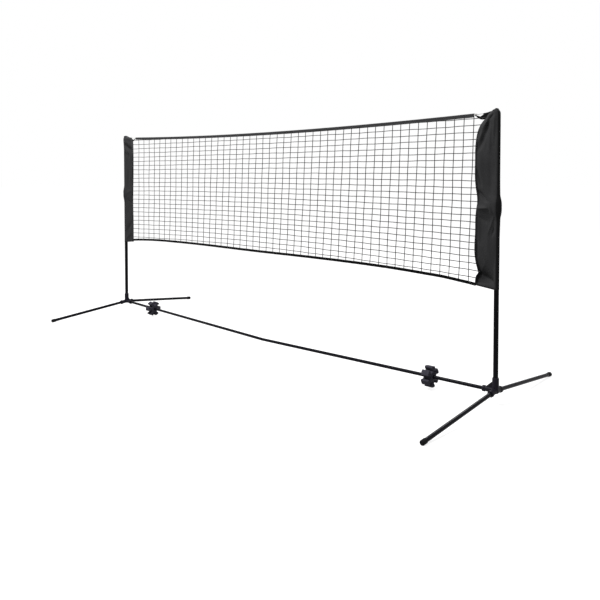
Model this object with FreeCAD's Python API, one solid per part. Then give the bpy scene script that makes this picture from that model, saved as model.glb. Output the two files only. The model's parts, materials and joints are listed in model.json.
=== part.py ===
"""Portable badminton net: two telescopic poles on four-way base joints, with the net between them.

Millimetres. +X runs along the net, +Y across it, +Z is up. The origin is on the floor, midway between
the poles. The right-hand pieces are modelled, and the left-hand ones are their mirror images.
"""
import FreeCAD, Part
import math
import os

V = FreeCAD.Vector
UP = V(0, 0, 1)
ORIGIN = V(0, 0, 0)
MID_PLANE = V(1, 0, 0)

# ---------------------------------------------------------------- driving dimensions
POLE_SPACING = 3540.0        # pole axis to pole axis
NET_TOP = 1552.0             # top of the fabric sleeves
JOINT_HEIGHT = 80.0          # centre of each base joint above the floor
FOOT_REACH = 698.0           # joint centre to the end of a foot
BAR_MIDDLE_HEIGHT = 41.0     # axis of the ground bar where its two halves meet
POLE_X = POLE_SPACING / 2

LOWER_POLE_R = 13.25
LOWER_POLE_WALL = 1.0
LOWER_POLE_TOP = 1032.0
UPPER_POLE_R = LOWER_POLE_R - 2.5
UPPER_POLE_WALL = 1.0
UPPER_POLE_BOTTOM = 830.0
FOOT_R = 11.0
FOOT_WALL = 1.0
BAR_R = 10.0
BAR_WALL = 1.0

PLUG_GAP = 0.1               # radial clearance of a tube that is plugged in and stays
RUNNING_GAP = 0.05           # radial clearance of what slides or turns
SEAT_GAP = 0.3               # between faces that only rest against each other

# base joint, measured along each socket from the joint's centre
POLE_SOCKET_R = LOWER_POLE_R + 4.4
POLE_SOCKET_TOP = 69.0
POLE_SOCKET_SHOULDER = 6.0
POLE_SOCKET_LIP = 1.6        # wall left round the pole at the socket's mouth
POLE_SOCKET_FLOOR = 4.5
FOOT_SOCKET_R = FOOT_R + 3.8
FOOT_SOCKET_LENGTH = 58.0
FOOT_SOCKET_BOTTOM = 22.0
BAR_SOCKET_R = BAR_R + 4.1
BAR_SOCKET_LENGTH = 72.0
BAR_SOCKET_BOTTOM = 26.0
RIM_LENGTH = 13.0
RIM_RISE = 2.7
RIM_BEVEL = 1.4
GUSSET_THICKNESS = 6.0
GUSSET_HEIGHT = 45.0
GUSSET_REACH = 55.0

# feet
CAP_R = FOOT_R + 2.3
CAP_LENGTH = 32.0
CAP_END_WALL = 5.0
CAP_ROUND = 4.0
CAP_FLAT_DEPTH = 1.2         # how far the floor plane cuts into the round cap

# ground bar
BAR_SPLIT = POLE_SPACING / 4  # outer section's end, along the bar from the joint's centre
SWAGE_LENGTH = 55.0
FERRULE_LENGTH = 60.0
BAR_END_GAP = 0.5            # each half of the bar stops this short of the middle

# telescopic lock: a split collet on the lower pole, and the ring that closes it
COLLET_R = LOWER_POLE_R + 2.5
COLLET_BELOW = 28.0          # collet's length below the lower pole's top
COLLET_ABOVE = 18.0
COLLET_FLANGE_R = LOWER_POLE_R + 4.0
COLLET_FLANGE = 5.0
COLLET_SLITS = 4
COLLET_SLIT_WIDTH = 1.6
COLLET_TAPER = 6.0           # length of the cone at the tips of the fingers
COLLET_TIP_DROP = 2.6        # how much smaller the cone's end is
LOCK_RING_R = LOWER_POLE_R + 6.7
LOCK_RING_LIP = 3.0
LOCK_RING_FLUTES = 8
LOCK_RING_FLUTE_R = 3.0
LOCK_RING_FLUTE_DEPTH = 1.2
BUSH_LENGTH = 40.0
BUSH_FLOOR = 3.7

# pole cap
POLE_CAP_R = UPPER_POLE_R
POLE_CAP_TOP = NET_TOP - 1.6 * UPPER_POLE_R
POLE_CAP_SPIGOT = 26.0

# fabric sleeve: its outline lists (distance in from the pole's axis, distance below the net's top)
FABRIC = 0.9
SLEEVE_SLACK = 0.5           # between the lock ring and the fabric
SLEEVE_WIDTH = 125.0         # pole axis to the sewn inner edge
SLEEVE_SEAM = 12.0           # width of the sewn strip at the inner edge
SLEEVE_LENGTH = 941.0        # net's top to the hem at the pole's axis
SLEEVE_BOTTOM_RISE = 15.0    # the hem is this much higher at the inner edge
SLEEVE_SHOULDER = [(SLEEVE_WIDTH, 167.0), (118.0, 129.0), (106.0, 97.0), (73.0, 52.0), (44.0, 16.5),
                   (22.0, 4.5)]
SLEEVE_CROWN = [(0.4 * UPPER_POLE_R, 0.0), (-UPPER_POLE_R, 1.4 * UPPER_POLE_R),
                (-2 * UPPER_POLE_R, 3.6 * UPPER_POLE_R)]

# net and its tapes
TOP_TAPE_END = POLE_X - 140.0           # half the top tape's length
TOP_TAPE_END_HEIGHT = NET_TOP - 30.0
TOP_TAPE_MIDDLE_HEIGHT = NET_TOP - 58.0
TOP_TAPE_HEIGHT = 20.0
TOP_TAPE_THICKNESS = 5.4
BOTTOM_TAPE_HEIGHT = 12.5
BOTTOM_TAPE_THICKNESS = 3.0
BOTTOM_TAPE_END_HEIGHT = NET_TOP - 921.0
BOTTOM_TAPE_BEND = (POLE_X - 390.0, NET_TOP - 901.0)
BOTTOM_TAPE_SHOULDER = (POLE_X - 690.0, NET_TOP - 890.5)
BOTTOM_TAPE_MIDDLE_HEIGHT = NET_TOP - 886.0
NETTING_THICKNESS = 0.6

# headline cord and the webbing tab that it is tied to, whose outline is given as the sleeve's is
CORD_R = 2.0
CORD_END = 69.0              # the cord stops this far in from the pole's axis
KNOT_R = 5.5
KNOT_LENGTH = 11.0
TAB_THICKNESS = 3.0
TAB_SEAT = 0.4
TAB_FOLD = 68.0              # the inner end of the slot in which the cord's end lies
TAB_ARM = [(36.0, 7.0), (60.0, 15.5), (81.0, 20.0), (82.0, 24.5)]
TAB_LOBE = [(82.0, 31.0), (88.0, 36.0), (102.0, 38.0), (121.0, 34.0), (115.0, 45.0), (95.0, 54.0),
            (76.0, 56.0), (40.0, 37.0)]

# foam tube organisers on the ground bar
ORGANISER_RIGHT = (398.0, -33.0)  # distance in from the pole's axis, and turn about the bar in degrees
ORGANISER_LEFT = (414.0, -3.0)
ORGANISER_LENGTH = 49.0
ORGANISER_R = 59.0
ORGANISER_SLOTS = 6
ORGANISER_SLOT_GAP = 0.15
ORGANISER_SLOT_PLACE = 39.5  # centre to the centre of a tube slot
ORGANISER_MOUTH = 20.0
ORGANISER_FLARE = 28.0
ORGANISER_LOBE_ROUND = 5.0
ORGANISER_EDGE = 1.4

# ---------------------------------------------------------------- worked out
JOINT = V(POLE_X, 0, JOINT_HEIGHT)
BAR_SLOPE = math.atan2(JOINT_HEIGHT - BAR_MIDDLE_HEIGHT, POLE_X)
BAR_IN = V(-math.cos(BAR_SLOPE), 0, -math.sin(BAR_SLOPE))
BAR_HALF = POLE_X / math.cos(BAR_SLOPE)
BAR_BORE_R = BAR_R - BAR_WALL

FOOT_LENGTH = math.hypot(FOOT_REACH, JOINT_HEIGHT - CAP_R)
FOOT_CONTACT = FOOT_LENGTH - CAP_ROUND
FOOT_SLOPE = (math.asin((JOINT_HEIGHT + CAP_FLAT_DEPTH) / math.hypot(FOOT_CONTACT, CAP_R))
              - math.atan2(CAP_R, FOOT_CONTACT))

LOWER_POLE_BORE_R = LOWER_POLE_R - LOWER_POLE_WALL
LOWER_POLE_BOTTOM = JOINT_HEIGHT - FOOT_SOCKET_R + POLE_SOCKET_FLOOR
COLLET_BOTTOM = LOWER_POLE_TOP - COLLET_BELOW
COLLET_TOP = LOWER_POLE_TOP + COLLET_ABOVE
LOCK_RING_BOTTOM = COLLET_BOTTOM + COLLET_FLANGE + SEAT_GAP
LOCK_RING_TOP = COLLET_TOP + SEAT_GAP + LOCK_RING_LIP

SLEEVE_BORE_R = LOCK_RING_R + SLEEVE_SLACK
SLEEVE_R = SLEEVE_BORE_R + FABRIC
UPPER_POLE_TOP = POLE_CAP_TOP - POLE_CAP_R - SEAT_GAP

TAPE_SAG = TOP_TAPE_END_HEIGHT - TOP_TAPE_MIDDLE_HEIGHT
TAPE_ARC_R = (TOP_TAPE_END ** 2 + TAPE_SAG ** 2) / (2 * TAPE_SAG)
TAPE_ARC_CENTRE = V(0, 0, TOP_TAPE_MIDDLE_HEIGHT + TAPE_ARC_R)
TAPE_HALF_ANGLE = math.degrees(math.asin(TOP_TAPE_END / TAPE_ARC_R))
NET_END = POLE_X - SLEEVE_WIDTH - SEAT_GAP
ORGANISER_SLOT_R = FOOT_R + ORGANISER_SLOT_GAP


# ---------------------------------------------------------------- small tools
def rod(start, direction, length, radius):
    """A solid cylinder."""
    return Part.makeCylinder(radius, length, start, direction)


def tube(start, direction, length, radius, wall):
    """A round tube with open ends."""
    return rod(start, direction, length, radius).cut(rod(start, direction, length, radius - wall))


def face_of(points):
    """A flat face with straight edges."""
    return Part.Face(Part.makePolygon(list(points) + [points[0]]))


def turned(profile, start, direction):
    """A solid turned about the axis from start: profile lists (radius, distance along the axis)."""
    solid = face_of([V(radius, 0, along) for radius, along in profile]).revolve(ORIGIN, UP, 360)
    solid.Placement = FreeCAD.Placement(start, FreeCAD.Rotation(UP, direction))
    return solid


def upright(points, thickness):
    """A plate in the net's plane: points are (x, z), and the thickness is centred on that plane."""
    face = face_of([V(x, -thickness / 2, z) for x, z in points])
    return face.extrude(V(0, thickness, 0))


def mirrored(shape):
    """The left-hand copy of a right-hand piece."""
    return shape.mirror(ORIGIN, MID_PLANE)


def foot_direction(side):
    """Along a foot, away from the joint and down to the floor: side is -1 in front, +1 at the rear."""
    return V(0, side * math.cos(FOOT_SLOPE), -math.sin(FOOT_SLOPE))


def along(start, direction, distance):
    return start + direction * distance


def from_corner(distance_in, drop):
    """A point of the net's plane, from its distances in from the right-hand pole and below the net's top."""
    return (POLE_X - distance_in, NET_TOP - drop)


# ---------------------------------------------------------------- base joint
def socket_body(direction, length, radius):
    """One arm of the joint: a round socket with a raised rim at its mouth."""
    rim_start = length - RIM_LENGTH
    rim_r = radius + RIM_RISE
    profile = [(0, 0), (radius, 0), (radius, rim_start - RIM_BEVEL), (rim_r, rim_start),
               (rim_r, length - RIM_BEVEL), (rim_r - RIM_BEVEL, length), (0, length)]
    return turned(profile, JOINT, direction)


def pole_socket_body():
    """The upright arm, with a sloping shoulder that runs in to the pole."""
    mouth_r = LOWER_POLE_R + PLUG_GAP + POLE_SOCKET_LIP
    profile = [(0, -FOOT_SOCKET_R), (FOOT_SOCKET_R - 2, -FOOT_SOCKET_R), (POLE_SOCKET_R, -FOOT_SOCKET_R + 5),
               (POLE_SOCKET_R, POLE_SOCKET_TOP - POLE_SOCKET_SHOULDER), (mouth_r, POLE_SOCKET_TOP),
               (0, POLE_SOCKET_TOP)]
    return turned(profile, JOINT, UP)


def gusset():
    """The web between the pole's socket and the bar's socket."""
    points = [(POLE_X - POLE_SOCKET_R / 2, JOINT_HEIGHT + GUSSET_HEIGHT),
              (POLE_X - POLE_SOCKET_R, JOINT_HEIGHT + GUSSET_HEIGHT),
              (POLE_X - GUSSET_REACH, JOINT_HEIGHT + BAR_SOCKET_R - 2.5),
              (POLE_X - GUSSET_REACH, JOINT_HEIGHT + BAR_SOCKET_R / 2),
              (POLE_X - POLE_SOCKET_R / 2, JOINT_HEIGHT)]
    return upright(points, GUSSET_THICKNESS)


def base_joint():
    joint = pole_socket_body().fuse([
        socket_body(BAR_IN, BAR_SOCKET_LENGTH, BAR_SOCKET_R),
        socket_body(foot_direction(-1), FOOT_SOCKET_LENGTH, FOOT_SOCKET_R),
        socket_body(foot_direction(1), FOOT_SOCKET_LENGTH, FOOT_SOCKET_R),
        gusset(),
    ])
    bores = [
        rod(V(POLE_X, 0, LOWER_POLE_BOTTOM), UP, POLE_SOCKET_TOP * 2, LOWER_POLE_R + PLUG_GAP),
        rod(along(JOINT, BAR_IN, BAR_SOCKET_BOTTOM), BAR_IN, BAR_SOCKET_LENGTH, BAR_R + PLUG_GAP),
    ]
    for side in (-1, 1):
        direction = foot_direction(side)
        bores.append(rod(along(JOINT, direction, FOOT_SOCKET_BOTTOM), direction, FOOT_SOCKET_LENGTH,
                         FOOT_R + PLUG_GAP))
    return joint.cut(bores).removeSplitter()


# ---------------------------------------------------------------- feet
def foot_tube(side):
    direction = foot_direction(side)
    start = FOOT_SOCKET_BOTTOM + SEAT_GAP
    length = FOOT_LENGTH - CAP_END_WALL - SEAT_GAP - start
    return tube(along(JOINT, direction, start), direction, length, FOOT_R, FOOT_WALL)


def foot_cap(side):
    """A round end cap, cut flat by the floor where it stands on it."""
    direction = foot_direction(side)
    back = FOOT_LENGTH - CAP_LENGTH
    bevel = 1.5
    profile = [(FOOT_R + PLUG_GAP, back), (CAP_R - bevel, back), (CAP_R, back + bevel),
               (CAP_R, FOOT_LENGTH - CAP_ROUND), (CAP_R - CAP_ROUND * 0.3, FOOT_LENGTH - CAP_ROUND * 0.3),
               (CAP_R - CAP_ROUND, FOOT_LENGTH), (0, FOOT_LENGTH), (0, FOOT_LENGTH - CAP_END_WALL),
               (FOOT_R + PLUG_GAP, FOOT_LENGTH - CAP_END_WALL)]
    cap = turned(profile, JOINT, direction)
    below_floor = Part.makeBox(200, 4 * FOOT_REACH, 100, V(POLE_X - 100, -2 * FOOT_REACH, -100))
    return cap.cut(below_floor)


# ---------------------------------------------------------------- ground bar
def bar_outer_section():
    """From the base joint to the split, with a swaged end that plugs into the inner section."""
    start = BAR_SOCKET_BOTTOM + SEAT_GAP
    plain = rod(along(JOINT, BAR_IN, start), BAR_IN, BAR_SPLIT - start, BAR_R)
    swage_r = BAR_BORE_R - PLUG_GAP
    swage = rod(along(JOINT, BAR_IN, BAR_SPLIT), BAR_IN, SWAGE_LENGTH, swage_r)
    bore = rod(along(JOINT, BAR_IN, start), BAR_IN, BAR_SPLIT - start - 2, BAR_BORE_R)
    swage_bore = rod(along(JOINT, BAR_IN, BAR_SPLIT - 3), BAR_IN, SWAGE_LENGTH + 4, swage_r - BAR_WALL)
    return plain.fuse(swage).cut([bore, swage_bore])


def bar_inner_section():
    start = BAR_SPLIT + SEAT_GAP
    length = BAR_HALF - BAR_END_GAP - start
    return tube(along(JOINT, BAR_IN, start), BAR_IN, length, BAR_R, BAR_WALL)


def bar_ferrule():
    """The bent plug inside the bar's middle: it sets the angle between the two halves."""
    middle = V(0, 0, BAR_MIDDLE_HEIGHT)
    radius = BAR_BORE_R - PLUG_GAP
    right = rod(middle, BAR_IN * -1, FERRULE_LENGTH, radius)
    return right.fuse([mirrored(right), Part.makeSphere(radius, middle)]).removeSplitter()


# ---------------------------------------------------------------- poles and their lock
def lower_pole():
    start = LOWER_POLE_BOTTOM + SEAT_GAP
    return tube(V(POLE_X, 0, start), UP, LOWER_POLE_TOP - start, LOWER_POLE_R, LOWER_POLE_WALL)


def upper_pole():
    return tube(V(POLE_X, 0, UPPER_POLE_BOTTOM), UP, UPPER_POLE_TOP - UPPER_POLE_BOTTOM, UPPER_POLE_R,
                UPPER_POLE_WALL)


def pole_bush():
    """The guide on the upper pole's foot, a running fit in the lower pole."""
    outer = LOWER_POLE_BORE_R - RUNNING_GAP
    inner = UPPER_POLE_R + PLUG_GAP / 2
    floor_bottom = UPPER_POLE_BOTTOM - BUSH_FLOOR
    profile = [(inner - 3, floor_bottom), (outer - 0.8, floor_bottom), (outer, floor_bottom + 1.2),
               (outer, floor_bottom + BUSH_LENGTH), (inner, floor_bottom + BUSH_LENGTH),
               (inner, UPPER_POLE_BOTTOM - SEAT_GAP), (inner - 3, UPPER_POLE_BOTTOM - SEAT_GAP)]
    return turned(profile, V(POLE_X, 0, 0), UP)


def lock_collet():
    """The fixed half of the lock: seated on the lower pole's end, its slit fingers grip the upper pole."""
    pole_r = LOWER_POLE_R + PLUG_GAP
    grip_r = UPPER_POLE_R + RUNNING_GAP
    seat = LOWER_POLE_TOP + SEAT_GAP
    profile = [(pole_r, COLLET_BOTTOM), (COLLET_FLANGE_R - 0.8, COLLET_BOTTOM),
               (COLLET_FLANGE_R, COLLET_BOTTOM + 0.8), (COLLET_FLANGE_R, COLLET_BOTTOM + COLLET_FLANGE),
               (COLLET_R, COLLET_BOTTOM + COLLET_FLANGE), (COLLET_R, COLLET_TOP - COLLET_TAPER),
               (COLLET_R - COLLET_TIP_DROP, COLLET_TOP), (grip_r, COLLET_TOP), (grip_r, seat), (pole_r, seat)]
    collet = turned(profile, V(POLE_X, 0, 0), UP)
    slit_bottom = seat + 4
    for index in range(COLLET_SLITS // 2):
        slit = Part.makeBox(3 * COLLET_R, COLLET_SLIT_WIDTH, COLLET_TOP - slit_bottom + 1,
                            V(-1.5 * COLLET_R, -COLLET_SLIT_WIDTH / 2, slit_bottom))
        slit.rotate(ORIGIN, UP, 45 + index * 360 / COLLET_SLITS)
        slit.translate(V(POLE_X, 0, 0))
        collet = collet.cut(slit)
    return collet


def lock_ring():
    """The turning half of the lock: a fluted ring whose inner cone closes the collet's fingers."""
    bore = COLLET_R + RUNNING_GAP
    lip_r = UPPER_POLE_R + 0.7
    bevel = 1.6
    roof = COLLET_TOP + SEAT_GAP
    profile = [(bore, LOCK_RING_BOTTOM), (LOCK_RING_R - bevel, LOCK_RING_BOTTOM),
               (LOCK_RING_R, LOCK_RING_BOTTOM + bevel), (LOCK_RING_R, LOCK_RING_TOP - 4),
               (LOCK_RING_R - 3.5, LOCK_RING_TOP), (lip_r, LOCK_RING_TOP), (lip_r, roof),
               (COLLET_R - COLLET_TIP_DROP + SEAT_GAP, roof), (bore, COLLET_TOP - COLLET_TAPER)]
    ring = turned(profile, V(POLE_X, 0, 0), UP)
    flute_axis = LOCK_RING_R + LOCK_RING_FLUTE_R - LOCK_RING_FLUTE_DEPTH
    flute_bottom = LOCK_RING_BOTTOM + 6
    flute_length = LOCK_RING_TOP - 10 - flute_bottom
    flutes = []
    for index in range(LOCK_RING_FLUTES):
        angle = 2 * math.pi * index / LOCK_RING_FLUTES
        place = V(POLE_X + flute_axis * math.cos(angle), flute_axis * math.sin(angle), flute_bottom)
        flutes.append(rod(place, UP, flute_length, LOCK_RING_FLUTE_R))
    return ring.cut(flutes)


def pole_cap():
    """A domed plug in the top of the upper pole, which carries the sleeve's closed end."""
    spigot_r = UPPER_POLE_R - UPPER_POLE_WALL - PLUG_GAP
    head = UPPER_POLE_TOP + SEAT_GAP
    profile = [(0, UPPER_POLE_TOP - POLE_CAP_SPIGOT), (spigot_r - 1, UPPER_POLE_TOP - POLE_CAP_SPIGOT),
               (spigot_r, UPPER_POLE_TOP - POLE_CAP_SPIGOT + 1.5), (spigot_r, head + 1), (0, head + 1)]
    spigot = turned(profile, V(POLE_X, 0, 0), UP)
    dome = Part.makeSphere(POLE_CAP_R, V(POLE_X, 0, head), UP, 0, 90, 360)
    return spigot.fuse(dome).removeSplitter()


# ---------------------------------------------------------------- fabric sleeve
def belt_face(big_r, small_r, distance, height):
    """The outline of a belt round two circles: a big one on the pole's axis, a small one further in."""
    lean = math.asin((big_r - small_r) / distance)
    touch = V(-math.sin(lean), math.cos(lean), 0)
    big = V(POLE_X, 0, height)
    small = V(POLE_X - distance, 0, height)
    flipped = V(touch.x, -touch.y, 0)
    outer_arc = Part.Arc(big + touch * big_r, big + V(big_r, 0, 0), big + flipped * big_r)
    inner_arc = Part.Arc(small + flipped * small_r, small - V(small_r, 0, 0), small + touch * small_r)
    edges = [outer_arc.toShape(),
             Part.LineSegment(big + flipped * big_r, small + flipped * small_r).toShape(),
             inner_arc.toShape(),
             Part.LineSegment(small + touch * small_r, big + touch * big_r).toShape()]
    return Part.Face(Part.Wire(edges))


def sleeve_prism(lowered=0.0, hem_lowered=0.0):
    """A block with the sleeve's side view: the crown and shoulder, and the hem, can be lowered."""
    top = [(distance, drop + lowered) for distance, drop in SLEEVE_SHOULDER + SLEEVE_CROWN]
    slope = SLEEVE_BOTTOM_RISE / SLEEVE_WIDTH
    inner, outer = SLEEVE_WIDTH + 2, -SLEEVE_R - 1
    hem = [(edge, SLEEVE_LENGTH - slope * edge + hem_lowered) for edge in (outer, inner)]
    outline = hem + [(inner, top[0][1])] + top + [(outer, top[-1][1])]
    return upright([from_corner(distance, drop) for distance, drop in outline], 4 * SLEEVE_R)


def fabric_sleeve():
    """A tapering pocket round the pole, sewn shut along its inner edge and its sloping top."""
    base = NET_TOP - SLEEVE_LENGTH - 60
    tall = V(0, 0, SLEEVE_LENGTH + 80)
    edge_r = FABRIC
    seam_r = 0.3
    skin = belt_face(SLEEVE_R, edge_r, SLEEVE_WIDTH - edge_r, base).extrude(tall)
    hollow = belt_face(SLEEVE_BORE_R, seam_r, SLEEVE_WIDTH - SLEEVE_SEAM - seam_r, base).extrude(tall)
    return skin.common(sleeve_prism()).cut(hollow.common(sleeve_prism(lowered=FABRIC, hem_lowered=30)))


# ---------------------------------------------------------------- net, tapes and headline cord
def tape_arc_height(x, below=0.0):
    """Height of the arc that runs a given distance below the top tape's centre line."""
    return TAPE_ARC_CENTRE.z - math.sqrt((TAPE_ARC_R + below) ** 2 - x ** 2)


def swept_on_tape_arc(face):
    """A section in the plane x = 0, carried both ways along the top tape's arc."""
    start = face.copy()
    start.rotate(TAPE_ARC_CENTRE, V(0, 1, 0), TAPE_HALF_ANGLE)
    return start.revolve(TAPE_ARC_CENTRE, V(0, 1, 0), -2 * TAPE_HALF_ANGLE)


def round_section(radius):
    """A disc across the top tape's middle."""
    return Part.Face(Part.Wire(Part.makeCircle(radius, V(0, 0, TOP_TAPE_MIDDLE_HEIGHT), V(1, 0, 0))))


def top_tape():
    """The headline hem: a flat band with a channel for the cord, hanging in a shallow arc."""
    half_y, half_z = TOP_TAPE_THICKNESS / 2, TOP_TAPE_HEIGHT / 2
    corners = [(half_y, half_z), (half_y, -half_z), (-half_y, -half_z), (-half_y, half_z)]
    section = face_of([V(0, y, TOP_TAPE_MIDDLE_HEIGHT + z) for y, z in corners])
    return swept_on_tape_arc(section).cut(swept_on_tape_arc(round_section(CORD_R + PLUG_GAP)))


def headline_direction():
    """Along the cord where it leaves the top tape's right-hand end."""
    angle = math.radians(TAPE_HALF_ANGLE)
    return V(math.cos(angle), 0, math.sin(angle))


def headline_cord():
    """One cord through the whole top tape, running on in a straight line to the tabs at both ends."""
    middle = swept_on_tape_arc(round_section(CORD_R))
    leave = V(TOP_TAPE_END, 0, TOP_TAPE_END_HEIGHT)
    free_length = (POLE_X - CORD_END - TOP_TAPE_END) / headline_direction().x
    end = rod(leave, headline_direction(), free_length, CORD_R)
    return middle.fuse([end, mirrored(end)])


def cord_knot():
    """The stopper knot that the cord makes where it leaves the top tape."""
    start = V(TOP_TAPE_END, 0, TOP_TAPE_END_HEIGHT)
    bore = CORD_R + PLUG_GAP / 2
    first = SEAT_GAP
    last = first + KNOT_LENGTH
    profile = [(bore, first), (KNOT_R * 0.75, first), (KNOT_R, first + KNOT_LENGTH * 0.25),
               (KNOT_R, last - KNOT_LENGTH * 0.25), (KNOT_R * 0.75, last), (bore, last)]
    return turned(profile, start, headline_direction())


def headline_height(x):
    """Height of the cord's straight end over a point of the net's plane."""
    slope = headline_direction().z / headline_direction().x
    return TOP_TAPE_END_HEIGHT + (x - TOP_TAPE_END) * slope


def corner_tab():
    """A folded webbing tab on the sleeve's shoulder, with the end of the cord lying in its fold."""
    slot = CORD_R + PLUG_GAP
    fold = NET_TOP - headline_height(POLE_X - TAB_FOLD)
    outline = TAB_ARM + [(TAB_FOLD, fold - slot), (TAB_FOLD, fold + slot)] + TAB_LOBE
    tab = upright([from_corner(distance, drop) for distance, drop in outline], TAB_THICKNESS)
    return tab.cut(sleeve_prism(lowered=-TAB_SEAT))


def bottom_edge(shift):
    """The bottom tape's centre line moved up by shift, as three arcs from left to right."""
    bend_x, bend_z = BOTTOM_TAPE_BEND
    shoulder_x, shoulder_z = BOTTOM_TAPE_SHOULDER
    corner = V(NET_END, 0, BOTTOM_TAPE_END_HEIGHT + shift)
    bend = V(bend_x, 0, bend_z + shift)
    shoulder = V(shoulder_x, 0, shoulder_z + shift)
    crown = V(0, 0, BOTTOM_TAPE_MIDDLE_HEIGHT + shift)

    def flip(point):
        return V(-point.x, 0, point.z)

    arcs = [(flip(corner), flip(bend), flip(shoulder)), (flip(shoulder), crown, shoulder),
            (shoulder, bend, corner)]
    return [Part.Arc(*points).toShape() for points in arcs]


def band(upper_edges, lower_edges, thickness):
    """A flat band in the net's plane between two edge lines that both run from left to right."""
    left = Part.LineSegment(lower_edges[0].Vertexes[0].Point, upper_edges[0].Vertexes[0].Point).toShape()
    right = Part.LineSegment(upper_edges[-1].Vertexes[-1].Point, lower_edges[-1].Vertexes[-1].Point).toShape()
    wire = Part.Wire(Part.__sortEdges__(lower_edges + [right] + upper_edges + [left]))
    face = Part.Face(wire)
    face.translate(V(0, -thickness / 2, 0))
    return face.extrude(V(0, thickness, 0))


def bottom_tape():
    half = BOTTOM_TAPE_HEIGHT / 2
    return band(bottom_edge(half), bottom_edge(-half), BOTTOM_TAPE_THICKNESS)


def netting():
    """The net's panel between the two tapes and the two sleeves."""
    below = TOP_TAPE_HEIGHT / 2 + SEAT_GAP
    points = [V(x, 0, tape_arc_height(x, below)) for x in (-NET_END, 0, NET_END)]
    top_edge = [Part.Arc(*points).toShape()]
    return band(top_edge, bottom_edge(BOTTOM_TAPE_HEIGHT / 2 + SEAT_GAP), NETTING_THICKNESS)


# ---------------------------------------------------------------- tube organiser
def organiser_slot(angle):
    """A round seat for a tube and the flared mouth that it is pressed in through, turned about the bar."""
    start = V(-ORGANISER_LENGTH, 0, ORGANISER_SLOT_PLACE)
    length = V(2 * ORGANISER_LENGTH, 0, 0)
    seat = rod(start, V(1, 0, 0), length.x, ORGANISER_SLOT_R)
    neck = ORGANISER_SLOT_PLACE + ORGANISER_SLOT_R * 0.75
    outside = ORGANISER_R + 1
    half, wide = ORGANISER_MOUTH / 2, ORGANISER_FLARE / 2
    section = [(-half, ORGANISER_SLOT_PLACE), (half, ORGANISER_SLOT_PLACE), (half, neck), (wide, outside),
               (-wide, outside), (-half, neck)]
    mouth = face_of([V(start.x, y, z) for y, z in section]).extrude(length)
    slot = seat.fuse(mouth)
    slot.rotate(ORIGIN, V(1, 0, 0), angle)
    return slot


def lobe_corners(block):
    """The long edges at a lobe's two outer corners."""
    corners = []
    for edge in block.Edges:
        first, last = edge.Vertexes[0].Point, edge.Vertexes[-1].Point
        long = abs(last.x - first.x) > ORGANISER_LENGTH / 2
        if long and math.hypot(first.y, first.z) > ORGANISER_R - 0.1:
            corners.append(edge)
    return corners


def organiser(place, turn):
    """A thick foam disc with rounded lobes between open tube slots, threaded on the ground bar."""
    start = V(-ORGANISER_LENGTH / 2, 0, 0)
    disc = rod(start, V(1, 0, 0), ORGANISER_LENGTH, ORGANISER_R)
    slots = [organiser_slot(360 * index / ORGANISER_SLOTS) for index in range(ORGANISER_SLOTS)]
    block = disc.cut(slots).removeSplitter()
    block = block.makeFillet(ORGANISER_LOBE_ROUND, lobe_corners(block))
    end_edges = [edge for face in block.Faces if abs(face.normalAt(0, 0).x) > 0.99 for edge in face.Edges]
    block = block.makeChamfer(ORGANISER_EDGE, end_edges)
    block = block.cut(rod(start * 2, V(1, 0, 0), 2 * ORGANISER_LENGTH, BAR_R + RUNNING_GAP))
    block.rotate(ORIGIN, V(1, 0, 0), turn)
    block.rotate(ORIGIN, V(0, 1, 0), -math.degrees(BAR_SLOPE))
    block.translate(along(JOINT, BAR_IN, place / math.cos(BAR_SLOPE)))
    return block


# ---------------------------------------------------------------- the whole net
def paired_pieces():
    """Every piece that stands at the right-hand pole and is mirrored at the left."""
    return {
        "base_joint": base_joint(),
        "front_foot": foot_tube(-1),
        "rear_foot": foot_tube(1),
        "front_foot_cap": foot_cap(-1),
        "rear_foot_cap": foot_cap(1),
        "ground_bar_outer": bar_outer_section(),
        "ground_bar_inner": bar_inner_section(),
        "lower_pole": lower_pole(),
        "lock_collet": lock_collet(),
        "lock_ring": lock_ring(),
        "upper_pole": upper_pole(),
        "pole_bush": pole_bush(),
        "pole_cap": pole_cap(),
        "sleeve": fabric_sleeve(),
        "corner_tab": corner_tab(),
        "cord_knot": cord_knot(),
    }


def single_pieces():
    return {
        "ground_bar_ferrule": bar_ferrule(),
        "top_tape": top_tape(),
        "bottom_tape": bottom_tape(),
        "netting": netting(),
        "headline_cord": headline_cord(),
        "tube_organiser_right": organiser(*ORGANISER_RIGHT),
        "tube_organiser_left": mirrored(organiser(*ORGANISER_LEFT)),
    }


def main():
    os.makedirs("parts", exist_ok=True)
    nodes = single_pieces()
    for name, shape in paired_pieces().items():
        nodes[name + "_right"] = shape
        nodes[name + "_left"] = mirrored(shape)
    for name, shape in sorted(nodes.items()):
        shape.exportStep(os.path.join("parts", name + ".step"))
        box = shape.BoundBox
        volume = shape.Volume / 1000
        print(f"{name:24s} solids {len(shape.Solids)}  valid {shape.isValid()}  {volume:9.2f} cm3"
              f"  x {box.XMin:8.1f} {box.XMax:8.1f}  z {box.ZMin:7.1f} {box.ZMax:7.1f}")


main()
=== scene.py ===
"""Looks of the portable badminton net: finishes for the CAD frame, and its cloth, cord and netting.

Metres. +X runs along the net, +Y across it, +Z is up, and the floor is at zero. A sleeve is described by how
far a point lies in from its pole's axis, towards the net, and by its height.
"""
import json
import math

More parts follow.
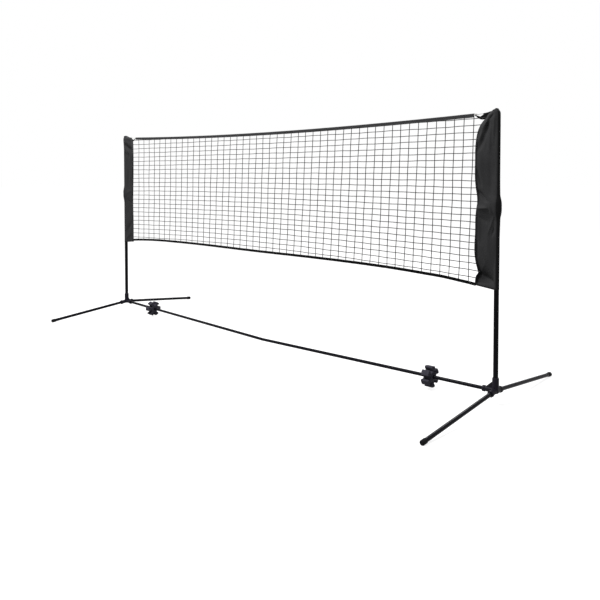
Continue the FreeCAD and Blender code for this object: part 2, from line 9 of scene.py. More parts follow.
import bpy
import bmesh
import numpy as np
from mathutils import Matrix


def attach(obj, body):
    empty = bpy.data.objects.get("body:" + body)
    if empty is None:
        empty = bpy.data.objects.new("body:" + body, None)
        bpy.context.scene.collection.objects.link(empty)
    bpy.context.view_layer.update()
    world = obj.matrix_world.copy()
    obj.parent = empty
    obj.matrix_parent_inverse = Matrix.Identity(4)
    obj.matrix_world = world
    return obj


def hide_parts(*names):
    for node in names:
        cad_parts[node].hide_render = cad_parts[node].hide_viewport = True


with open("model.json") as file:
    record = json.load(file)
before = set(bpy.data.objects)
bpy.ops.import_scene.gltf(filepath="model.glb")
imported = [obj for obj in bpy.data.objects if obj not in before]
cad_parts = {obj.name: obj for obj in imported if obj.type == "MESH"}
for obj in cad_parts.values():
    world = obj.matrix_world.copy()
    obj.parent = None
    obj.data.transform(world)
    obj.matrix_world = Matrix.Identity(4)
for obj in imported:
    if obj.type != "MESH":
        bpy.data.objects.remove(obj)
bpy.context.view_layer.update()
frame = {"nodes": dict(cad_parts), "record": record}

POLE_X = 1.770
SIDES = {"right": 1, "left": -1}

# ---------------------------------------------------------------- camera and floor
CAMERA_PLACE = (3.3584, -3.1646, 1.2095)
CAMERA_TURN = 43.427          # degrees, anticlockwise from looking along +Y
CAMERA_DIP = 1.736            # degrees below level
CAMERA_LENS = 39.29           # millimetres, on a 36 mm sensor
CAMERA_SHIFT = -0.1762
FLOOR_HALF = 60.0
FLOOR_GREY = 0.35
SKY_LIGHT = 0.22
FLOOR_GLOW = (0.87, 0.93)     # what the floor adds to its lit colour where a ray sees it, near and far
FLOOR_NEAR_FAR = (3.0, 9.0)   # how far near and far are from the origin
# each lamp: its place, what it shines at, its (width, height) and its power in watts
LAMPS = {"key": ((0.45, -2.6, 5.6), (0.4, 0.0, 0.9), (1.2, 1.2), 255.0),
         "side": ((-2.0, -2.6, 5.6), (0.3, 0.0, 0.6), (1.2, 1.2), 230.0),
         "back": ((0.0, 4.4, 4.2), (0.0, 0.0, 1.0), (2.4, 1.2), 110.0)}
DUST_COLOR = (0.036, 0.035, 0.040)
PAINTED_SHEEN_HEIGHTS = (0.30, 0.07)      # heights between which the tubes' painted sheen, a lighter and bluer paint, goes from none to full

# ---------------------------------------------------------------- sleeves
CLOTH = 0.0006
POCKET_R = 0.0141             # fabric round the pole
SEAM_HALF = 0.0014            # half the thickness of the sewn inner edge
SEAM_WIDTH = 0.010
SLEEVE_TOP = 1.552
HEM_AT_POLE = 0.609
HEM_RISE = 0.011
# inner edge, as (height, distance in from the pole's axis)
RIGHT_EDGE = [(0.605, 0.123), (0.642, 0.1215), (0.664, 0.116), (0.681, 0.1055), (0.702, 0.1105),
              (0.733, 0.119), (0.770, 0.1255), (0.914, 0.1245), (0.983, 0.1235), (1.021, 0.120),
              (1.058, 0.114), (1.090, 0.1145), (1.138, 0.1225), (1.180, 0.1272), (1.286, 0.128),
              (1.355, 0.127), (1.397, 0.1225), (1.423, 0.1175), (1.4555, 0.106), (1.478, 0.0926),
              (1.500, 0.0734), (1.520, 0.058), (1.533, 0.0452), (1.544, 0.028), (1.550, 0.013),
              (1.552, 0.0062)]
LEFT_EDGE = [(0.605, 0.120), (0.810, 0.120), (0.941, 0.117), (1.073, 0.120), (1.205, 0.125), (1.360, 0.127),
             (1.489, 0.1240), (1.507, 0.1225), (1.517, 0.1170), (1.5265, 0.0990), (1.5345, 0.0740),
             (1.5420, 0.0500), (1.5485, 0.0270), (1.552, 0.0125)]
# outer edge, the same way: below zero is on the far side of the pole's axis
RIGHT_OUTER = [(0.605, -0.0141), (0.850, -0.0141), (0.870, -0.0141), (0.930, -0.0155), (0.985, -0.0170),
               (1.031, -0.0185), (1.080, -0.0165), (1.130, -0.0150), (1.200, -0.0141), (1.230, -0.0141),
               (1.450, -0.0141), (1.470, -0.0141), (1.495, -0.0130), (1.518, -0.0118), (1.531, -0.0092),
               (1.541, -0.0025), (1.552, 0.0050)]
LEFT_OUTER = [(0.605, -0.0141), (1.400, -0.0141), (1.420, -0.0141), (1.480, -0.0172), (1.512, -0.0195),
              (1.5283, -0.0180), (1.5412, -0.0105), (1.5490, 0.0020), (1.552, 0.0108)]
# folds, as (start, end, half width, depth, sharpness), with points as (distance in, height). A sharpness of
# 2 makes a soft fold and of 1 a creased one.
RIGHT_FOLDS = [((0.040, 1.515), (0.085, 1.448), 0.0120, 0.0070, 2.0),
               ((0.018, 1.523), (0.044, 1.497), 0.0080, -0.0070, 2.0),
               ((0.044, 1.500), (0.062, 1.428), 0.0100, -0.0100, 2.0),
               ((0.062, 1.432), (0.106, 1.338), 0.0130, -0.0085, 2.0),
               ((0.036, 1.450), (0.042, 1.330), 0.0110, 0.0060, 2.0),
               ((0.012, 1.510), (0.020, 1.370), 0.0080, 0.0040, 2.0),
               ((0.084, 1.440), (0.108, 1.385), 0.0090, 0.0040, 2.0),
               ((0.104, 1.360), (0.086, 1.190), 0.0170, 0.0050, 2.0),
               ((0.034, 1.300), (0.030, 1.110), 0.0130, -0.0035, 2.0),
               ((0.116, 1.236), (0.088, 1.150), 0.0085, -0.0090, 2.0),
               ((0.104, 1.122), (0.054, 1.068), 0.0085, -0.0125, 1.8),
               ((0.124, 1.030), (0.040, 1.033), 0.0230, 0.0190, 1.0),
               ((0.040, 1.060), (0.020, 1.000), 0.0070, 0.0050, 2.0),
               ((0.100, 0.985), (0.050, 0.960), 0.0120, -0.0040, 2.0),
               ((0.012, 0.990), (0.044, 0.900), 0.0065, 0.0055, 1.6),
               ((-0.004, 0.965), (0.022, 0.890), 0.0060, -0.0060, 2.0),
               ((0.052, 0.940), (0.044, 0.800), 0.0140, 0.0040, 2.0),
               ((0.092, 0.960), (0.084, 0.850), 0.0120, -0.0040, 2.0),
               ((0.112, 0.855), (0.107, 0.769), 0.0070, -0.0060, 2.0),
               ((0.096, 0.682), (0.004, 0.628), 0.0420, -0.0400, 1.0),
               ((0.102, 0.840), (0.060, 0.760), 0.0100, 0.0040, 2.0)]
LEFT_FOLDS = [((0.016, 1.510), (0.108, 1.452), 0.0180, 0.0120, 2.0),
              ((0.014, 1.476), (0.096, 1.416), 0.0170, -0.0075, 2.0),
              ((0.006, 1.450), (0.070, 1.392), 0.0170, 0.0105, 2.0),
              ((0.012, 1.404), (0.050, 1.366), 0.0160, -0.0045, 2.0),
              ((0.088, 1.420), (0.096, 1.330), 0.0160, 0.0080, 2.0),
              ((0.120, 1.075), (0.030, 1.040), 0.0200, 0.0060, 1.2),
              ((0.117, 0.941), (0.040, 0.990), 0.0090, -0.0050, 2.0),
              ((0.060, 1.260), (0.050, 1.080), 0.0150, -0.0050, 2.0),
              ((0.098, 1.480), (0.098, 0.660), 0.0050, -0.0030, 1.4),
              ((0.110, 0.800), (0.030, 0.700), 0.0160, -0.0060, 2.0),
              ((0.100, 0.700), (0.020, 0.640), 0.0140, 0.0040, 2.0)]
# the line past which the cloth round the pole is painted dark as shade, where it turns away, as (height,
# distance in)
PAINTED_SHADE_LINE = [(0.600, -0.0010), (0.900, -0.0030), (1.200, -0.0060), (1.552, -0.0060)]
POLE_CLEAR = 0.0140           # the cloth stays outside this radius
SLEEVE_GRID = (300, 120)      # rows up and columns round
ROWS_CLOSER = 0.25            # the rows lie wider apart at the hem by this share, and closer at the top
# folds and ripples grow from nothing to full between these distances from the outer edge and from the sewn
# edge, and between these shares of the height
LOOSE_FROM_OUTER = (0.008, 0.028)
LOOSE_FROM_SEAM = (0.0, 0.012)
LOOSE_FROM_HEM = (0.0, 0.02)
TOGETHER = (0.028, 0.055)     # distances from the outer edge between which the layers come to move as one
HEM_WIDTH = 0.125             # the hem rises by HEM_RISE over this distance in
HEM_FADE = 0.25               # share of the height over which the hem's slope fades out
SHOULDER = (1.36, 1.41)       # heights between which the binding turns from its painted shade to light
# soft edges of the sleeve's colours, as the distances between which each one grows: past the painted
# shade's line, in from the sewn edge, or up from the hem
PAINTED_SHADE_START = (-0.0004, 0.0010)
FACING_END = (0.0270, 0.0220)
BINDING_AND_GROOVE_SHADE_END = (0.0140, 0.0125)
HEM_END = (0.0085, 0.0070)
EDGE_STITCHES = 0.0150        # how far the stitches lie in from the sewn edge, and up from the hem
HEM_STITCHES = 0.0100
# fabric pushed out by the lock, which stays at its height when the net is lowered
LOCK_MIDDLE = 1.033
BULGE_BELOW = 0.075
BULGE_ABOVE = 0.055           # short, so that the lowered sleeve's crown still hides the cover's end
BULGE_R = {"right": 0.0223, "left": 0.0208}
BULGE_END_R = {"below": 0.0134, "above": 0.0116}
BULGE_EASE = 0.0010           # the sleeve goes round the cover with this much room
BULGE_FLAT_BELOW = 0.10       # share of the reach below the lock's middle that is at the full radius
BULGE_FLAT_ABOVE = 0.30       # the same above it, for the cover
SLEEVE_SWELL = (0.085, 0.25)  # how far above it the sleeve's own swell reaches, and the same share of that
SWELL_DENT = 0.0002           # folds may go this far into the swell
COVER_GRID = (60, 48)

# ---------------------------------------------------------------- net
UPRIGHTS = 48
CROSSINGS = 24
STRING_R = 0.00218
KNOT_R = 0.0028
KNOT_GRID = (5, 6)            # rings of a knot and points in each
LEAN_LOW = 0.72               # height at which the uprights' places were read
LEAN_SPAN = 0.72              # the lean is the sideways shift over this height
FIRST_UPRIGHT = -1.568
UPRIGHT_PITCH = 0.0776
PITCH_LOSS = 0.000213         # the mesh narrows a little towards the right-hand pole
TAPE_END = {"left": -1.604, "right": 1.635}
TAPE_MIDDLE = 1.494
TAPE_RISE = 0.028
TAPE_HALF = 1.630
TOP_TAPE_HALVES = (0.0100, 0.0106)   # half the top tape's width at its left and right ends
# the highest and lowest cross strings: height in the middle, and how much higher they are at the poles
HIGHEST_ROW = (1.4955, 0.0105)
LOWEST_ROW = (0.696, -0.034)
STRING_TUCK = 0.006           # how far the cross strings go into the sleeves
TOP_TUCK = 0.007              # how far the uprights stop short of the top tape's middle line
BOTTOM_TUCK = 0.004           # and of the bottom tape's
KNOT_GAP = 0.003              # no knot lies closer than this to an upright's end
BOTTOM_LINE = [(-1.660, 0.634), (-1.621, 0.638), (-1.512, 0.646), (-1.316, 0.656), (-0.965, 0.6632),
               (0.0, 0.6645), (0.546, 0.6667), (0.796, 0.6655), (1.026, 0.662), (1.170, 0.658),
               (1.306, 0.652), (1.437, 0.646), (1.561, 0.6346), (1.600, 0.6307), (1.655, 0.6240)]
BOTTOM_TAPE_HALF = 0.0088
BOTTOM_TAPE_ENDS = (-1.653, 1.651)
BAND_ROWS = 420
CORD_R = 0.0021
CORD_UP = 0.004               # how far the cord lies above the top tape's middle
# the cord past the ends of the top tape, as (x, height)
CORD_LEFT = [(-1.676, 1.5335), (-1.658, 1.5325), (-1.641, 1.530), (-1.622, 1.527)]
CORD_RIGHT = [(1.648, 1.5262), (1.662, 1.5275), (1.676, 1.5282), (1.690, 1.5285)]
STOPPER_SIZE = 0.0021
STOPPER_OUT = 0.0075          # how far each stopper knot lies outside the tape's end, and above its middle
STOPPER_UP = 0.0035
UP_ACROSS = np.array([0.0, 0.31, 1.0])   # no string or cord runs along this direction
# webbing on each sleeve's shoulder, as (outline, middle, half thickness): points are (distance in, height).
# The cord is tied to the tongue.
TABS = {
    "right": {
        "arm": ([(0.032, 1.539), (0.060, 1.5335), (0.081, 1.5305), (0.084, 1.527), (0.078, 1.522),
                 (0.060, 1.518), (0.040, 1.522)], (0.056, 1.529), 0.0016),
        "tongue": ([(0.046, 1.514), (0.066, 1.528), (0.082, 1.524), (0.104, 1.514), (0.128, 1.5245),
                    (0.116, 1.509), (0.095, 1.4985), (0.074, 1.498), (0.056, 1.500)],
                   (0.082, 1.508), 0.0017)},
    "left": {
        "arm": ([(0.085, 1.533), (0.105, 1.524), (0.112, 1.512), (0.104, 1.506), (0.090, 1.508),
                 (0.078, 1.522)], (0.096, 1.518), 0.0016),
        "tongue": ([(0.106, 1.516), (0.130, 1.514), (0.157, 1.518), (0.144, 1.507), (0.122, 1.499),
                    (0.108, 1.500)], (0.124, 1.507), 0.0017)}}
TAB_GRID = (24, 64)           # rings from front to back, and points in each

# ---------------------------------------------------------------- tube organisers
JOINT_UP = 0.080
BAR_FALL = 0.039              # how far the bar falls from the joints to its middle
BAR_SLOPE = math.atan2(BAR_FALL, POLE_X)
ORGANISERS = {"right": (0.398, -33.0), "left": (0.414, -3.0)}   # distance in from the pole, turn in degrees
BLOCK_HALF = 0.0245
BLOCK_R = 0.0590
BORE_R = 0.01008
BORE_STEPS = 8                # points of the bore for each seat
SEATS = 6
SEAT_R = 0.01115
SEAT_PLACE = 0.0395
SEAT_TURN = 116.3             # degrees from the seat's floor to its lip
FLARE_START = (0.0100, 0.0479)
CORNER_R = 0.0050             # the lobe's rounded corner, its centre and the degrees that it turns through
CORNER_CENTRE = (0.01644, 0.05143)
CORNER_TURN = (-71.8, 17.7)
EDGE_ROUND = 0.0020


# ---------------------------------------------------------------- curves and meshes
def flowing(points, at):
    """A smooth curve through (position, value) points. Between two points it is a cubic, and its slope at
    each point is numpy's gradient there."""
    places, values = np.array(points, float).T
    slopes = np.gradient(values, places)
    at = np.clip(np.asarray(at, float), places[0], places[-1])
    index = np.clip(np.searchsorted(places, at) - 1, 0, len(places) - 2)
    step = places[index + 1] - places[index]
    t = (at - places[index]) / step
    start = (1 + 2 * t) * (1 - t) ** 2 * values[index] + t * (1 - t) ** 2 * step * slopes[index]
    return start + t * t * (3 - 2 * t) * values[index + 1] + t * t * (t - 1) * step * slopes[index + 1]


def eased(low, high, value):
    """0 below low, 1 above high, and 3t^2 - 2t^3 between."""
    t = np.clip((value - low) / (high - low), 0.0, 1.0)
    return t * t * (3 - 2 * t)


def grid_faces(rows, columns):
    """Corner numbers of the quads of a grid whose rows are closed loops, and their (row, column) places in a
    UV grid, which is one column wider."""
    row, column = np.meshgrid(np.arange(rows - 1), np.arange(columns), indexing="ij")
    rows_of = np.stack([row, row, row + 1, row + 1], axis=-1).reshape(-1, 4)
    columns_of = np.stack([column, column + 1, column + 1, column], axis=-1).reshape(-1, 4)
    return rows_of * columns + columns_of % columns, rows_of, columns_of


def outward(points, faces, uv):
    """Faces turned so that the closed volume, a third of the sum of centre times area, is above zero."""
    corners = points[faces]
    area = np.cross(corners[:, 2] - corners[:, 0], corners[:, 3] - corners[:, 1]) / 2
    middle = corners.mean(axis=1) - points.mean(axis=0)
    if (middle * area).sum() < 0:
        return faces[:, ::-1], uv[:, ::-1]
    return faces, uv


def placed(name, data):
    """A new object at the origin that shows the given mesh, lamp or camera."""
    item = bpy.data.objects.new(name, data)
    bpy.context.scene.collection.objects.link(item)
    return item


def make_piece(name, points, faces, uv, slot, body, masks=None):
    """A mesh from arrays of points, quads and one UV pair a corner. masks are values kept at its points."""
    points = np.asarray(points, float).reshape(-1, 3)
    faces, uv = outward(points, faces, uv)
    mesh = bpy.data.meshes.new(name)
    mesh.from_pydata(points.tolist(), [], faces.tolist())
    layer = mesh.uv_layers.new(name="cloth")
    layer.data.foreach_set("uv", np.ascontiguousarray(uv, dtype=np.float32).ravel())
    for mask, values in (masks or {}).items():
        attribute = mesh.attributes.new(mask, "FLOAT", "POINT")
        attribute.data.foreach_set("value", np.asarray(values, np.float32).ravel())
    edit(mesh, close_seams)
    mesh.shade_smooth()
    mesh.materials.append(materials[slot])
    piece = placed(name, mesh)
    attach(piece, body)
    return piece


def edit(mesh, change):
    """Runs change on the mesh in its form for editing."""
    work = bmesh.new()
    work.from_mesh(mesh)
    change(work)
    work.to_mesh(mesh)
    work.free()


def close_seams(work):
    """Merges the points that lie on each other at a pole of the surface."""
    bmesh.ops.remove_doubles(work, verts=work.verts, dist=1e-6)


def turn_outwards(work):
    bmesh.ops.recalc_face_normals(work, faces=work.faces)


def turn_of(count):
    """The angles of points spread evenly round a circle."""
    return 2 * math.pi * np.arange(count) / count


def loop_closed(points):
    """Rows of points, each with its first one again at its end."""
    return np.concatenate([points, points[:, :1]], axis=1)


def surface(name, points, uv, slot, body, masks=None):
    """A piece from a (rows, columns, 3) grid of points and its UV grid."""
    faces, rows_of, columns_of = grid_faces(*points.shape[:2])
    return make_piece(name, points, faces, uv[rows_of, columns_of], slot, body, masks)


def joined(parts):
    """Several (points, faces, uv) meshes as one."""
    starts = np.cumsum([0] + [len(part[0]) for part in parts[:-1]])
    points = np.concatenate([part[0] for part in parts])
    faces = np.concatenate([part[1] + start for part, start in zip(parts, starts)])
    return points, faces, np.concatenate([part[2] for part in parts])


def lengths_along(path):
    """Distance from each path's first point to each of its points."""
    steps = np.linalg.norm(np.diff(path, axis=-2), axis=-1)
    return np.concatenate([np.zeros(steps.shape[:-1] + (1,)), np.cumsum(steps, axis=-1)], axis=-1)


def points_of(*axes):
    """Points from their coordinates, each of which is spread to the shape of them all."""
    return np.stack(np.broadcast_arrays(*axes), axis=-1)


def directions_along(path):
    along = np.gradient(path, axis=-2)
    return along / np.linalg.norm(along, axis=-1, keepdims=True)


def tubes_along(paths, radius, sides):
    """Round tubes along paths, shaped (tubes, points, 3), in one mesh: each ring is radius times (cos a
    times the path's upward normal + sin a times its sideways one). Six-sided tubes have closed ends."""
    ahead = directions_along(paths)
    sideways = np.cross(ahead, UP_ACROSS)
    sideways /= np.linalg.norm(sideways, axis=-1, keepdims=True)
    upward = np.cross(sideways, ahead)
    angle = turn_of(sides)[:, None]
    ring = np.cos(angle) * upward[..., None, :] + np.sin(angle) * sideways[..., None, :]
    points = paths[..., None, :] + radius * ring
    tubes, count = paths.shape[:2]
    faces, rows_of, columns_of = grid_faces(count, sides)
    ends = np.array([[0, 1, 2, 3], [0, 3, 4, 5]]) if sides == 6 else np.zeros((0, 4), int)
    caps = np.concatenate([ends[:, ::-1], ends + (count - 1) * sides])
    one = np.concatenate([faces, caps])
    all_faces = (np.arange(tubes)[:, None, None] * count * sides + one).reshape(-1, 4)
    length = lengths_along(paths)[:, rows_of]
    uv = points_of(columns_of / sides, length)
    cap_uv = np.zeros((tubes, len(caps), 4, 2))
    return points.reshape(-1, 3), all_faces, np.concatenate([uv, cap_uv], axis=1).reshape(-1, 4, 2)


# ---------------------------------------------------------------- shader nodes
def add_node(tree, kind, values=None, **settings):
    """A node with its plain settings, and its named sockets set to a value or joined to another socket."""
    node = tree.nodes.new(kind)
    for name, value in settings.items():
        setattr(node, name, value)
    for name, value in (values or {}).items():
        put(tree, value, node.inputs[name])
    return node


def put(tree, value, socket):
    if isinstance(value, bpy.types.NodeSocket):
        tree.links.new(value, socket)
    else:
        socket.default_value = value


def maths(tree, operation, *values, clamp=False):
    """The result of one Math node."""
    node = tree.nodes.new("ShaderNodeMath")
    node.operation = operation
    node.use_clamp = clamp
    for value, socket in zip(values, node.inputs):
        put(tree, value, socket)
    return node.outputs[0]


def half_turns(tree, value):
    """sin(pi times the value)."""
    return maths(tree, "SINE", maths(tree, "MULTIPLY", value, math.pi))


def blended(tree, mask, low, high):
    """low where the mask is 0 and high where it is 1: colours, as three numbers or a socket."""
    node = tree.nodes.new("ShaderNodeMix")
    node.data_type = "RGBA"
    put(tree, mask, node.inputs["Factor"])
    for value, socket in ((low, node.inputs["A"]), (high, node.inputs["B"])):
        put(tree, value if isinstance(value, bpy.types.NodeSocket) else (*value, 1.0), socket)
    return node.outputs["Result"]


def ramp(tree, value, start, end, low=0.0, high=1.0, shape="LINEAR"):
    """low where the value is start, high where it is end, and never outside those two."""
    values = {"Value": value, "From Min": start, "From Max": end, "To Min": low, "To Max": high}
    return add_node(tree, "ShaderNodeMapRange", values, interpolation_type=shape).outputs["Result"]


def scaled(tree, value, low, high):
    """A value of 0 to 1 spread between two others."""
    return ramp(tree, value, 0.0, 1.0, low, high)


def axes_of(tree, vector):
    return add_node(tree, "ShaderNodeSeparateXYZ", {"Vector": vector}).outputs


def noise(tree, vector, scale, detail, roughness=0.5):
    values = {"Vector": vector, "Scale": scale, "Detail": detail, "Roughness": roughness}
    return add_node(tree, "ShaderNodeTexNoise", values).outputs["Fac"]


def new_group(name, numbers, build):
    """A node group with a Vector input and named number inputs. build makes its nodes from its tree and its
    inputs, and gives its named results."""
    group = bpy.data.node_groups.new(name, "ShaderNodeTree")
    group.interface.new_socket("Vector", in_out="INPUT", socket_type="NodeSocketVector")
    for label, value in numbers.items():
        socket = group.interface.new_socket(label, in_out="INPUT", socket_type="NodeSocketFloat")
        socket.default_value = value
    given = group.nodes.new("NodeGroupInput").outputs
    results = build(group, given)
    for label in results:
        group.interface.new_socket(label, in_out="OUTPUT", socket_type="NodeSocketFloat")
    out = group.nodes.new("NodeGroupOutput")
    for label, value in results.items():
        group.links.new(value, out.inputs[label])
    return group


def surface_grain(tree, given):
    """Fine grain of a moulded or painted surface, and larger soft patches."""
    wide = noise(tree, given["Vector"], given["Patches"], 4.0, 0.6)
    return {"Grain": noise(tree, given["Vector"], given["Grains"], 2.0),
            "Patch": ramp(tree, wide, 0.35, 0.65, shape="SMOOTHSTEP")}


def floor_dust(tree, given):
    """Dust that thins out with height above the floor and lies in specks."""
    low = ramp(tree, axes_of(tree, given["Vector"])["Z"], 0.0, given["Reach"], 1.0, 0.0)
    specks = ramp(tree, noise(tree, given["Vector"], 55.0, 6.0, 0.75), 0.45, 0.72)
    dust = maths(tree, "MULTIPLY", low, specks)
    return {"Dust": maths(tree, "MULTIPLY", dust, given["Amount"], clamp=True)}


def plain_weave(tree, given):
    """Plain weave on a UV map in metres: a half sine across each thread. The two sets of threads take turns
    on top, where the product of their sines changes sign."""
    place = axes_of(tree, given["Vector"])
    warp, weft = (half_turns(tree, maths(tree, "DIVIDE", place[axis], given["Thread"])) for axis in "XY")
    on_top = maths(tree, "MULTIPLY_ADD", maths(tree, "MULTIPLY", warp, weft), 1.5, 0.5, clamp=True)
    threads = {"Factor": on_top, "A": maths(tree, "ABSOLUTE", warp), "B": maths(tree, "ABSOLUTE", weft)}
    height = add_node(tree, "ShaderNodeMix", threads, data_type="FLOAT")
    return {"Height": height.outputs["Result"], "Thread tint": on_top}


def one_stitch_row(tree, given):
    """One row of stitches: X of the vector is the distance from the row and Y runs along it, in metres."""
    place = axes_of(tree, given["Vector"])
    share = maths(tree, "FRACT", maths(tree, "DIVIDE", place["Y"], given["Stitch"]))
    wave = half_turns(tree, share)
    offset = maths(tree, "DIVIDE", maths(tree, "ABSOLUTE", place["X"]), given["Half width"])
    return {"Stitches": maths(tree, "MULTIPLY", ramp(tree, wave, 0.35, 0.6), ramp(tree, offset, 1.0, 0.5))}


def cord_strands(tree, given):
    """Laid or braided strands: X of the vector is the share of a turn round the cord and Y its length."""
    place = axes_of(tree, given["Vector"])
    turns = maths(tree, "MULTIPLY", place["X"], given["Strands"])
    along = maths(tree, "DIVIDE", place["Y"], given["Pitch"])
    return {"Height": maths(tree, "ABSOLUTE", half_turns(tree, maths(tree, "ADD", turns, along)))}


groups = {"grain": new_group("surface grain", {"Grains": 900.0, "Patches": 9.0}, surface_grain),
          "dust": new_group("floor dust", {"Reach": 0.25, "Amount": 0.4}, floor_dust),
          "weave": new_group("plain weave", {"Thread": 0.0006}, plain_weave),
          "stitch": new_group("stitch row", {"Stitch": 0.0032, "Half width": 0.0005}, one_stitch_row),
          "strands": new_group("cord strands", {"Strands": 3.0, "Pitch": 0.006}, cord_strands)}
materials = {}


def emptied(owner):
    """The node tree of a new material or world, with nothing in it."""
    owner.use_nodes = True
    owner.node_tree.nodes.clear()
    return owner.node_tree


def new_material(slot, **plain):
    """A material with one Principled shader. plain are its values that are the same all over, each under its
    socket's name with underscores for the spaces."""
    material = bpy.data.materials.new(slot)
    tree = emptied(material)
    out = tree.nodes.new("ShaderNodeOutputMaterial")
    shader = tree.nodes.new("ShaderNodeBsdfPrincipled")
    tree.links.new(shader.outputs["BSDF"], out.inputs["Surface"])
    for name, value in plain.items():
        shader.inputs[name.replace("_", " ")].default_value = value
    materials[slot] = material
    return tree, shader


def use_group(tree, name, vector, **numbers):
    """The outputs of a shared group whose Vector and numbers are set."""
    node = tree.nodes.new("ShaderNodeGroup")
    node.node_tree = groups[name]
    tree.links.new(vector, node.inputs["Vector"])
    for label, value in numbers.items():
        put(tree, value, node.inputs[label])
    return node.outputs


def object_place(tree):
    """Places in the object's own metres."""
    return tree.nodes.new("ShaderNodeTexCoord").outputs["Object"]


def cloth_place(tree):
    """Places on the cloth's own UV map, in metres except round a cord."""
    return add_node(tree, "ShaderNodeUVMap", uv_map="cloth").outputs["UV"]


def mask_of(tree, name):
    """A value that the mesh keeps at its points."""
    return add_node(tree, "ShaderNodeAttribute", attribute_name=name).outputs["Fac"]


def bump(tree, height, distance, strength=1.0, below=None):
    values = {"Height": height, "Distance": distance, "Strength": strength}
    if below is not None:
        values["Normal"] = below
    return add_node(tree, "ShaderNodeBump", values).outputs["Normal"]


def finish_shader(tree, shader, color, roughness, normal):
    """Sets or joins the three inputs that every finish has."""
    for value, name in ((color, "Base Color"), (roughness, "Roughness"), (normal, "Normal")):
        put(tree, value, shader.inputs[name])


# ---------------------------------------------------------------- finishes
def tube_paint():
    """Black satin powder coat. Low on the frame it is painted lighter and bluer as a sheen, and it has a few
    specks of floor dust.
    """
    tree, shader = new_material("tube_paint", Specular_IOR_Level=0.045)
    place = object_place(tree)
    grain = use_group(tree, "grain", place, Grains=650.0, Patches=7.0)
    dust = use_group(tree, "dust", place, Reach=0.12, Amount=0.05)["Dust"]
    paint = blended(tree, grain["Patch"], (0.0010, 0.0010, 0.0015), (0.0020, 0.0020, 0.0028))
    # low on the frame the paint is painted lighter and bluer, as a sheen
    painted_sheen = ramp(tree, axes_of(tree, place)["Z"], *PAINTED_SHEEN_HEIGHTS)
    paint = blended(tree, painted_sheen, paint, (0.0052, 0.0050, 0.0078))
    color = blended(tree, dust, paint, DUST_COLOR)
    roughness = maths(tree, "MULTIPLY_ADD", dust, 0.5, scaled(tree, grain["Patch"], 0.20, 0.28))
    finish_shader(tree, shader, color, roughness, bump(tree, grain["Grain"], 0.00012, 0.35))


def moulded(slot, dark, light, grains, depth, roughness, dust_amount=0.0):
    """A moulded surface: fine grain, soft patches of colour and gloss, and floor dust where there is any."""
    tree, shader = new_material(slot, Specular_IOR_Level=0.07)
    place = object_place(tree)
    grain = use_group(tree, "grain", place, Grains=grains, Patches=11.0)
    color = blended(tree, grain["Patch"], dark, light)
    if dust_amount:
        dust = use_group(tree, "dust", place, Reach=0.14, Amount=dust_amount)["Dust"]
        color = blended(tree, dust, color, DUST_COLOR)
    finish_shader(tree, shader, color, scaled(tree, grain["Patch"], *roughness),
                  bump(tree, grain["Grain"], depth, 0.6))


def organiser_foam():
    """Closed-cell foam: a skin of small rounded cells with a few open ones, painted dark as the shade inside
    them.
    """
    tree, shader = new_material("organiser_foam", Specular_IOR_Level=0.10)
    place = object_place(tree)
    grain = use_group(tree, "grain", place, Grains=420.0, Patches=16.0)
    cells = add_node(tree, "ShaderNodeTexVoronoi", {"Vector": place, "Scale": 700.0}, feature="SMOOTH_F1")
    color = blended(tree, grain["Patch"], (0.0380, 0.0360, 0.0480), (0.0520, 0.0495, 0.0640))
    # the open cells are painted near black, as the shade inside them
    color = blended(tree, ramp(tree, cells.outputs["Distance"], 0.45, 0.8), color, (0.009, 0.009, 0.011))
    skin = bump(tree, cells.outputs["Distance"], 0.0004, 0.5)
    finish_shader(tree, shader, color, scaled(tree, grain["Grain"], 0.72, 0.9),
                  bump(tree, grain["Grain"], 0.0003, 0.4, skin))


